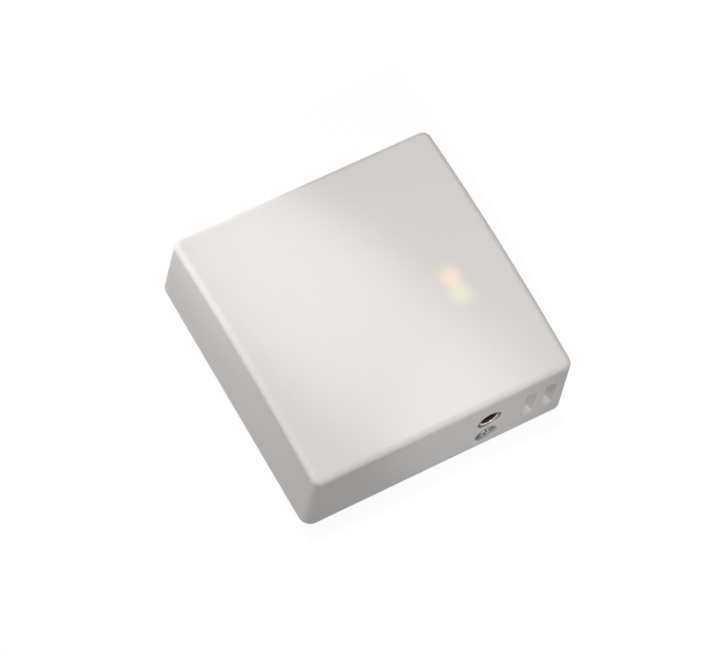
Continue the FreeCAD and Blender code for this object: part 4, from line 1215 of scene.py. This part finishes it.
class SENSOR_OT_probe_collar(bpy.types.Operator):
    """Make the turned metal collar of the probe socket and the black sleeve inside it"""

    bl_idname = "sensor.probe_collar"
    bl_label = "Probe collar"

    def execute(self, context):
        sizes = context.scene.hardware_sizes
        colours = context.scene.finish_colours
        low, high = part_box("socket_collar")
        middle = ((low.x + high.x) / 2, low.y, (low.z + high.z) / 2)
        nose = high.z - middle[2]
        end = high.y - low.y
        mouth, edge = sizes.mouth_radius, sizes.collar_edge
        fine, lip_round = 0.1 * MM, 0.3 * MM
        inner_lip = [(back, mouth + out) for out, back in arc_offsets(lip_round, 5)]
        outer_lip = [(back, nose - out) for out, back in arc_offsets(edge, 6)]
        profile = [(end, mouth)] + inner_lip[::-1] + outer_lip
        profile += [(edge + fine, nose), (end - fine, nose), (end, nose - fine)]
        mesh = turned_mesh("probe_collar", profile, middle)
        # The collar's base colour is painted shade for its upper side
        material = metal_material("Turned nickel", sizes.collar_painted_shade, 0.24, middle)
        face_side, mouth_side = (-0.6 * MM, -2.2 * MM), (0.8 * MM, -0.6 * MM)
        lip, rim = mouth + 0.15 * MM, nose - 0.35 * MM
        sheen_band = (lip + 2 * fine, lip)
        # Painted light on the lower side, a painted sheen and painted glints low in the mouth, and
        # painted shade at the outer rim
        ring_tint(material, middle, 0.0, fine, sizes.collar_lit_side, low=face_side)
        ring_tint(material, middle, *sheen_band, sizes.collar_mouth_sheen, low=mouth_side)
        ring_tint(material, middle, *sheen_band, sizes.collar_glint, glint_spots=True, low=mouth_side)
        ring_tint(material, middle, rim - 2 * fine, rim, sizes.collar_painted_shade)
        add_piece("probe_collar", mesh, material, "collar_metal", "socket_collar")

        start, bore = sizes.mouth_depth, sizes.bore_radius
        outer = mouth - 0.02 * MM
        profile = [
            (end, bore), (start + 0.3 * MM, bore), (start + fine, bore + 0.04 * MM),
            (start, bore + 0.15 * MM), (start, outer - fine), (start + fine, outer),
            (end - fine, outer), (end, outer - fine),
        ]
        mesh = turned_mesh("bore_liner", profile, middle)
        black = grained("Black sleeve", colours.sleeve, 0.6)
        shader = black.node_tree.nodes["Principled BSDF"]
        shader.inputs["Specular IOR Level"].default_value = 0.15
        sleeve_side = (-0.8 * MM, -1.8 * MM)
        ring_tint(black, middle, 0.0, fine, colours.sleeve_low, low=sleeve_side)
        add_piece("bore_liner", mesh, black, "black_plastic")
        return {"FINISHED"}


class SENSOR_OT_cross_screw(bpy.types.Operator):
    """Make the cover screw with its domed head, cross recess and thread"""

    bl_idname = "sensor.cross_screw"
    bl_label = "Cover screw"

    def execute(self, context):
        sizes = context.scene.hardware_sizes
        low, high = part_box("cover_screw")
        seat = low.y + sizes.head_seat
        middle = ((low.x + high.x) / 2, seat - sizes.head_height, (low.z + high.z) / 2)
        mesh = cover_screw_mesh(sizes, middle, seat, high.y)
        rim = sizes.head_radius
        material = metal_material("Zinc plated steel", sizes.screw_tint, 0.22, middle, 0.3, 0.004)
        # Painted shade round the rim of the head and painted glints in spots near the cross recess
        ring_tint(material, middle, 0.6 * rim, 0.9 * rim, sizes.screw_rim_shade)
        ring_tint(material, middle, 0.65 * rim, 0.4 * rim, sizes.screw_glint, glint_spots=True)
        add_piece("cross_screw", mesh, material, "screw_steel", "cover_screw")
        return {"FINISHED"}


class SENSOR_OT_board_parts(bpy.types.Operator):
    """Make the rows of small chip parts and the two board screws"""

    bl_idname = "sensor.board_parts"
    bl_label = "Chip rows and board screws"

    def execute(self, context):
        sizes = context.scene.inner_sizes
        colours = context.scene.finish_colours
        tin = grained("Tinned ends", colours.ends, 0.3, 1.0, 0.15, 0.15, 0.2)
        rows = [
            ("chip_capacitors", "ceramic", grained("Ceramic", colours.ceramic, 0.55)),
            ("chip_resistors", "chip", grained("Resistor glaze", colours.glaze, 0.3)),
        ]
        cap, pitch, wide = sizes.chip_cap, sizes.chip_pitch, sizes.chip_width / 2
        skin = 0.03 * MM
        for node, slot, finish in rows:
            low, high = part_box(node)
            half = (high.y - low.y) / 2
            tall = high.z - low.z
            count = 1 + round((high.x - low.x - 2 * wide) / pitch)
            start = (low.x + wide, (low.y + high.y) / 2, low.z)
            step = (pitch, 0.0, 0.0)
            body = soft_block("chip", wide - skin, half - skin, skin, tall - skin, 0.04 * MM)
            mesh = in_a_row(node + "_bodies", body, finish, count, start, step)
            add_piece(mesh.name, mesh, finish, slot, node)
            ends = Surface()
            for side in (-1, 1):
                block(ends, (-wide, wide), (side * (half - cap), side * half), (0.0, tall))
            ends = round_edges(ends.mesh("ends"), 0.08 * MM, 3)
            mesh = in_a_row(node + "_ends", ends, tin, count, start, step)
            add_piece(mesh.name, mesh, tin, "tinned")

        low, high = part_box("board_screws")
        head = sizes.board_screw_radius
        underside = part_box("circuit_board")[0].z
        screw = board_screw_mesh(sizes, underside - low.z, high.z - underside)
        steel = metal_material("Board screw steel", colours.steel, 0.3, (0.0, 0.0, 0.0), 0.2)
        start = (low.x + head, high.y - head, underside)
        step = (high.x - low.x - 2 * head, low.y - high.y + 2 * head, 0.0)
        mesh = in_a_row("board_screw_pair", screw, steel, 2, start, step)
        add_piece(mesh.name, mesh, steel, "screw_steel", "board_screws")
        return {"FINISHED"}


class SENSOR_OT_finishes(bpy.types.Operator):
    """Round the edges of the modelled inner pieces and give every piece its finish"""

    bl_idname = "sensor.finishes"
    bl_label = "Inner pieces"

    def execute(self, context):
        for node, (slot, finish, rounding) in self.inner_finishes(context).items():
            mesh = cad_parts[node].data.copy()
            mesh.name = node + "_rounded"
            round_edges(mesh, rounding * MM)
            add_piece(mesh.name, mesh, finish, slot, node)
        return {"FINISHED"}

    def inner_finishes(self, context):
        """Slot, material and rounding in millimetres of each inner piece."""
        colours = context.scene.finish_colours
        white = (colours.moulding, 0.45, 0.0)
        black = (colours.black, 0.45, 0.0)
        resin = (colours.resin, 0.55, 0.0)
        tin = (colours.tin, 0.3, 1.0)
        can = (colours.can, 0.25, 1.0)
        gold = (colours.gold, 0.25, 1.0)
        foam = grained("Foam", colours.foam, 0.95, grain=0.5, tone=0.3, gloss=0.05, depth=0.15)
        contact = ("spring_steel", grained("Contact steel", *tin), 0.06)
        plain = {
            "back_plate": ("plate", grained("White moulding", *white), 0.2),
            "light_shroud": ("shroud", grained("Shroud moulding", *white), 0.12),
            "battery_holder": ("black_plastic", grained("Black moulding", *black), 0.12),
            "socket_body": ("black_plastic", grained("Socket moulding", *black), 0.2),
            "jumper_cap": ("jumper", grained("Jumper moulding", colours.jumper, 0.4), 0.15),
            "radio_chip": ("chip", grained("Chip resin", *resin), 0.08),
            "screw_insert": ("insert_brass", grained("Brass", *gold), 0.08),
            "radio_shield": ("tinned", grained("Shield sheet", *tin), 0.12),
            "positive_contact": contact,
            "antenna": ("antenna_metal", grained("Antenna metal", *gold), 0.05),
            "chamber_gasket": ("foam", foam, 0.15),
            "circuit_board": ("board", board_material("Board laminate", colours), 0.08),
            "radio_board": ("board", board_material("Radio laminate", colours), 0.06),
            "negative_contact": contact,
            "tip_spring": contact,
            "sleeve_contact": contact,
        }

        # Each piece of two finishes: slot, finish of its body, finish of the rest, how far the
        # body lies inside the piece at its low and its high corner, and rounding
        no_inset = (0.0, 0.0, 0.0)
        legs = (0.0, 1.0, 0.0)
        jacket = (colours.capacitor, 0.35, 0.0)
        label = (colours.cell, 0.3, 0.0)
        lenses = [(colours.orange_lens, 0.15, 0.0), (colours.green_lens, 0.15, 0.0)]
        boxed = {
            "processor": ("chip", resin, tin, (1.0, 1.0, 0.0), (1.0, 1.0, 0.0), 0.04),
            "memory_chip": ("chip", resin, tin, legs, legs, 0.04),
            "voltage_regulator": ("chip", resin, tin, legs, legs, 0.04),
            "temperature_sensor": ("chip", resin, tin, no_inset, (0.0, 0.0, 7.3), 0.12),
            "pin_header": ("black_plastic", black, gold, (0.0, 0.0, 6.0), (0.0, 0.0, 2.4), 0.1),
            "crystal": ("can_aluminium", can, black, (0.0, 0.0, 0.5), no_inset, 0.15),
            "storage_capacitor": (
                "can_aluminium", jacket, can, (0.0, 0.0, 0.6), (0.0, 0.0, 0.9), 0.15,
            ),
            "battery_cell": ("cell", label, can, (2.6, 0.0, 0.0), (2.0, 0.0, 0.0), 0.3),
            "orange_led": ("orange_lens", lenses[0], white, (0.0, 0.0, 0.8), no_inset, 0.12),
            "green_led": ("green_lens", lenses[1], white, (0.0, 0.0, 0.8), no_inset, 0.12),
        }
        margin = 0.02 * MM
        for node, (slot, body, rest, low_inset, high_inset, rounding) in boxed.items():
            low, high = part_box(node)
            first = [a + inset * MM - margin for a, inset in zip(low, low_inset)]
            last = [a - inset * MM + margin for a, inset in zip(high, high_inset)]
            words = node.replace("_", " ").capitalize()
            plain[node] = (slot, two_finishes(words, body, rest, first, last), rounding)
        return plain


# Studio

def light_place(turn, height, distance):
    """A place round the sensor from its bearing and height in degrees and its distance."""
    turn, height = math.radians(turn), math.radians(height)
    flat = distance * math.cos(height)
    return Vector((flat * math.cos(turn), flat * math.sin(turn), distance * math.sin(height)))


def add_light(name, kind, place, aim, power, tint=(1.0, 1.0, 1.0), **settings):
    """A light that points from its place to its aim."""
    data = bpy.data.lights.new(name, kind)
    data.energy = power
    data.color = tint
    for key, value in settings.items():
        setattr(data, key, value)
    light = bpy.data.objects.new(name, data)
    light.location = place
    light.rotation_euler = (Vector(aim) - Vector(place)).to_track_quat("-Z", "Y").to_euler()
    light.visible_camera = False
    bpy.context.scene.collection.objects.link(light)


def seen_rays(tree):
    """One for rays from the camera, or by way of gloss or glass, and nothing for soft light."""
    path = add_node(tree, "ShaderNodeLightPath").outputs
    through = maths(tree, "MAXIMUM", path["Is Glossy Ray"], path["Is Transmission Ray"])
    return maths(tree, "MAXIMUM", path["Is Camera Ray"], through)


def make_camera(scene, lens):
    """The camera, above the near left side."""
    data = bpy.data.cameras.new("camera")
    data.lens = lens
    data.sensor_width = 36.0
    camera = bpy.data.objects.new("camera", data)
    camera.location = (-0.32844, -0.34744, 0.964911)
    camera.rotation_euler = [math.radians(a) for a in (25.76674, -6.72731, -29.55869)]
    scene.collection.objects.link(camera)
    scene.camera = camera


def floor_material():
    """White to the camera, but dark grey to soft light, so that it throws little light back."""
    material, tree, shader, _ = new_material("Pale floor", specular=0.0)
    seen = seen_rays(tree)
    dark, pale = (0.019, 0.019, 0.019), (0.15, 0.15, 0.15)
    wire(tree, shader, {"Roughness": 0.9, "Base Color": mixed(tree, seen, dark, pale)})
    white = add_node(tree, "ShaderNodeEmission", {"Strength": maths(tree, "MULTIPLY", seen, 0.9)})
    total = add_node(tree, "ShaderNodeAddShader", {0: shader.outputs[0], 1: white.outputs[0]})
    wire(tree, tree.nodes["Material Output"], {"Surface": total.outputs[0]})
    return material


def make_floor(scene):
    """A wide floor just under the sensor."""
    reach, low = 3.0, -0.0002
    corners = [(-reach, -reach, low), (reach, -reach, low), (reach, reach, low)]
    corners.append((-reach, reach, low))
    mesh = bpy.data.meshes.new("floor")
    mesh.from_pydata(corners, [], [(0, 1, 2, 3)])
    mesh.materials.append(floor_material())
    floor = bpy.data.objects.new("floor", mesh)
    scene.collection.objects.link(floor)
    floor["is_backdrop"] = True


def make_room(scene, room):
    """Even light from all round; the camera sees white."""
    world = bpy.data.worlds.new("room")
    world.use_nodes = True
    scene.world = world
    tree = world.node_tree
    level = maths(tree, "MULTIPLY_ADD", seen_rays(tree), 1.0 - room, room)
    wire(tree, tree.nodes["Background"], {"Strength": level, "Color": (1.0, 1.0, 1.0)})


class SENSOR_OT_studio(bpy.types.Operator):
    """Make the floor, the lights and the camera"""

    bl_idname = "sensor.studio"
    bl_label = "Studio"

    def execute(self, context):
        scene = context.scene
        studio = scene.studio_settings
        make_camera(scene, studio.lens)
        make_floor(scene)
        make_room(scene, studio.room)

        # Each light: bearing and height in degrees and distance, then its size and power, or
        # its aim in millimetres, spread in degrees, power and tint
        middle = Vector((0.0, 0.0, 15.0 * MM))
        soft_lights = [
            ("overhead", (70.7, 75.1, 1.507), 0.307, studio.overhead),
            ("left", (154.4, 3.0, 0.262), 0.191, studio.left),
        ]
        for name, place, size, power in soft_lights:
            add_light(name, "AREA", middle + light_place(*place), middle, power, size=size)
        plain, cool = (1.0, 1.0, 1.0), (0.98, 0.99, 1.0)
        narrow_lights = [
            ("streak", (110.4, 19.5, 1.1), (-12.9, 5.6, 27.0), 3.32, studio.streak, plain),
            ("key", (245.3, 37.8, 1.1), (52.6, -39.5, -4.7), 18.97, studio.key, cool),
            ("front", (237.0, 30.0, 1.1), (10.3, -39.5, 14.0), 3.15, studio.front, cool),
        ]
        for name, place, aim, spread, power, tint in narrow_lights:
            aim = Vector(aim) * MM
            add_light(
                name, "SPOT", aim + light_place(*place), aim, power, tint,
                spot_size=math.radians(spread), spot_blend=1.0, shadow_soft_size=0.005,
            )
        scene.view_settings.view_transform = "Standard"
        return {"FINISHED"}


OPERATORS = [
    SENSOR_OT_housing, SENSOR_OT_probe_collar, SENSOR_OT_cross_screw, SENSOR_OT_board_parts,
    SENSOR_OT_finishes, SENSOR_OT_studio,
]


class SENSOR_PT_panel(bpy.types.Panel):
    """Lists the steps that build the sensor"""

    bl_idname = "SENSOR_PT_panel"
    bl_label = "Room sensor"
    bl_space_type = "VIEW_3D"
    bl_region_type = "UI"
    bl_category = "Room sensor"

    def draw(self, context):
        for operator in OPERATORS:
            self.layout.operator(operator.bl_idname)
        for name, group in PROPERTY_GROUPS.items():
            box = self.layout.box()
            for key in group.__annotations__:
                box.prop(getattr(context.scene, name), key)


def register():
    for group in PROPERTY_GROUPS.values():
        bpy.utils.register_class(group)
    for name, group in PROPERTY_GROUPS.items():
        setattr(bpy.types.Scene, name, bpy.props.PointerProperty(type=group))
    for operator in OPERATORS:
        bpy.utils.register_class(operator)
    bpy.utils.register_class(SENSOR_PT_panel)


def unregister():
    bpy.utils.unregister_class(SENSOR_PT_panel)
    for operator in reversed(OPERATORS):
        bpy.utils.unregister_class(operator)
    for name, group in PROPERTY_GROUPS.items():
        delattr(bpy.types.Scene, name)
        bpy.utils.unregister_class(group)


def main():
    register()
    bpy.ops.sensor.housing()
    bpy.ops.sensor.probe_collar()
    bpy.ops.sensor.cross_screw()
    bpy.ops.sensor.board_parts()
    bpy.ops.sensor.finishes()
    bpy.ops.sensor.studio()
    boxes = {"cad": cad_box, "visual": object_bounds()}
    {key: [list(corner) for corner in box] for key, box in boxes.items()}


if __name__ == "__main__":
    main()
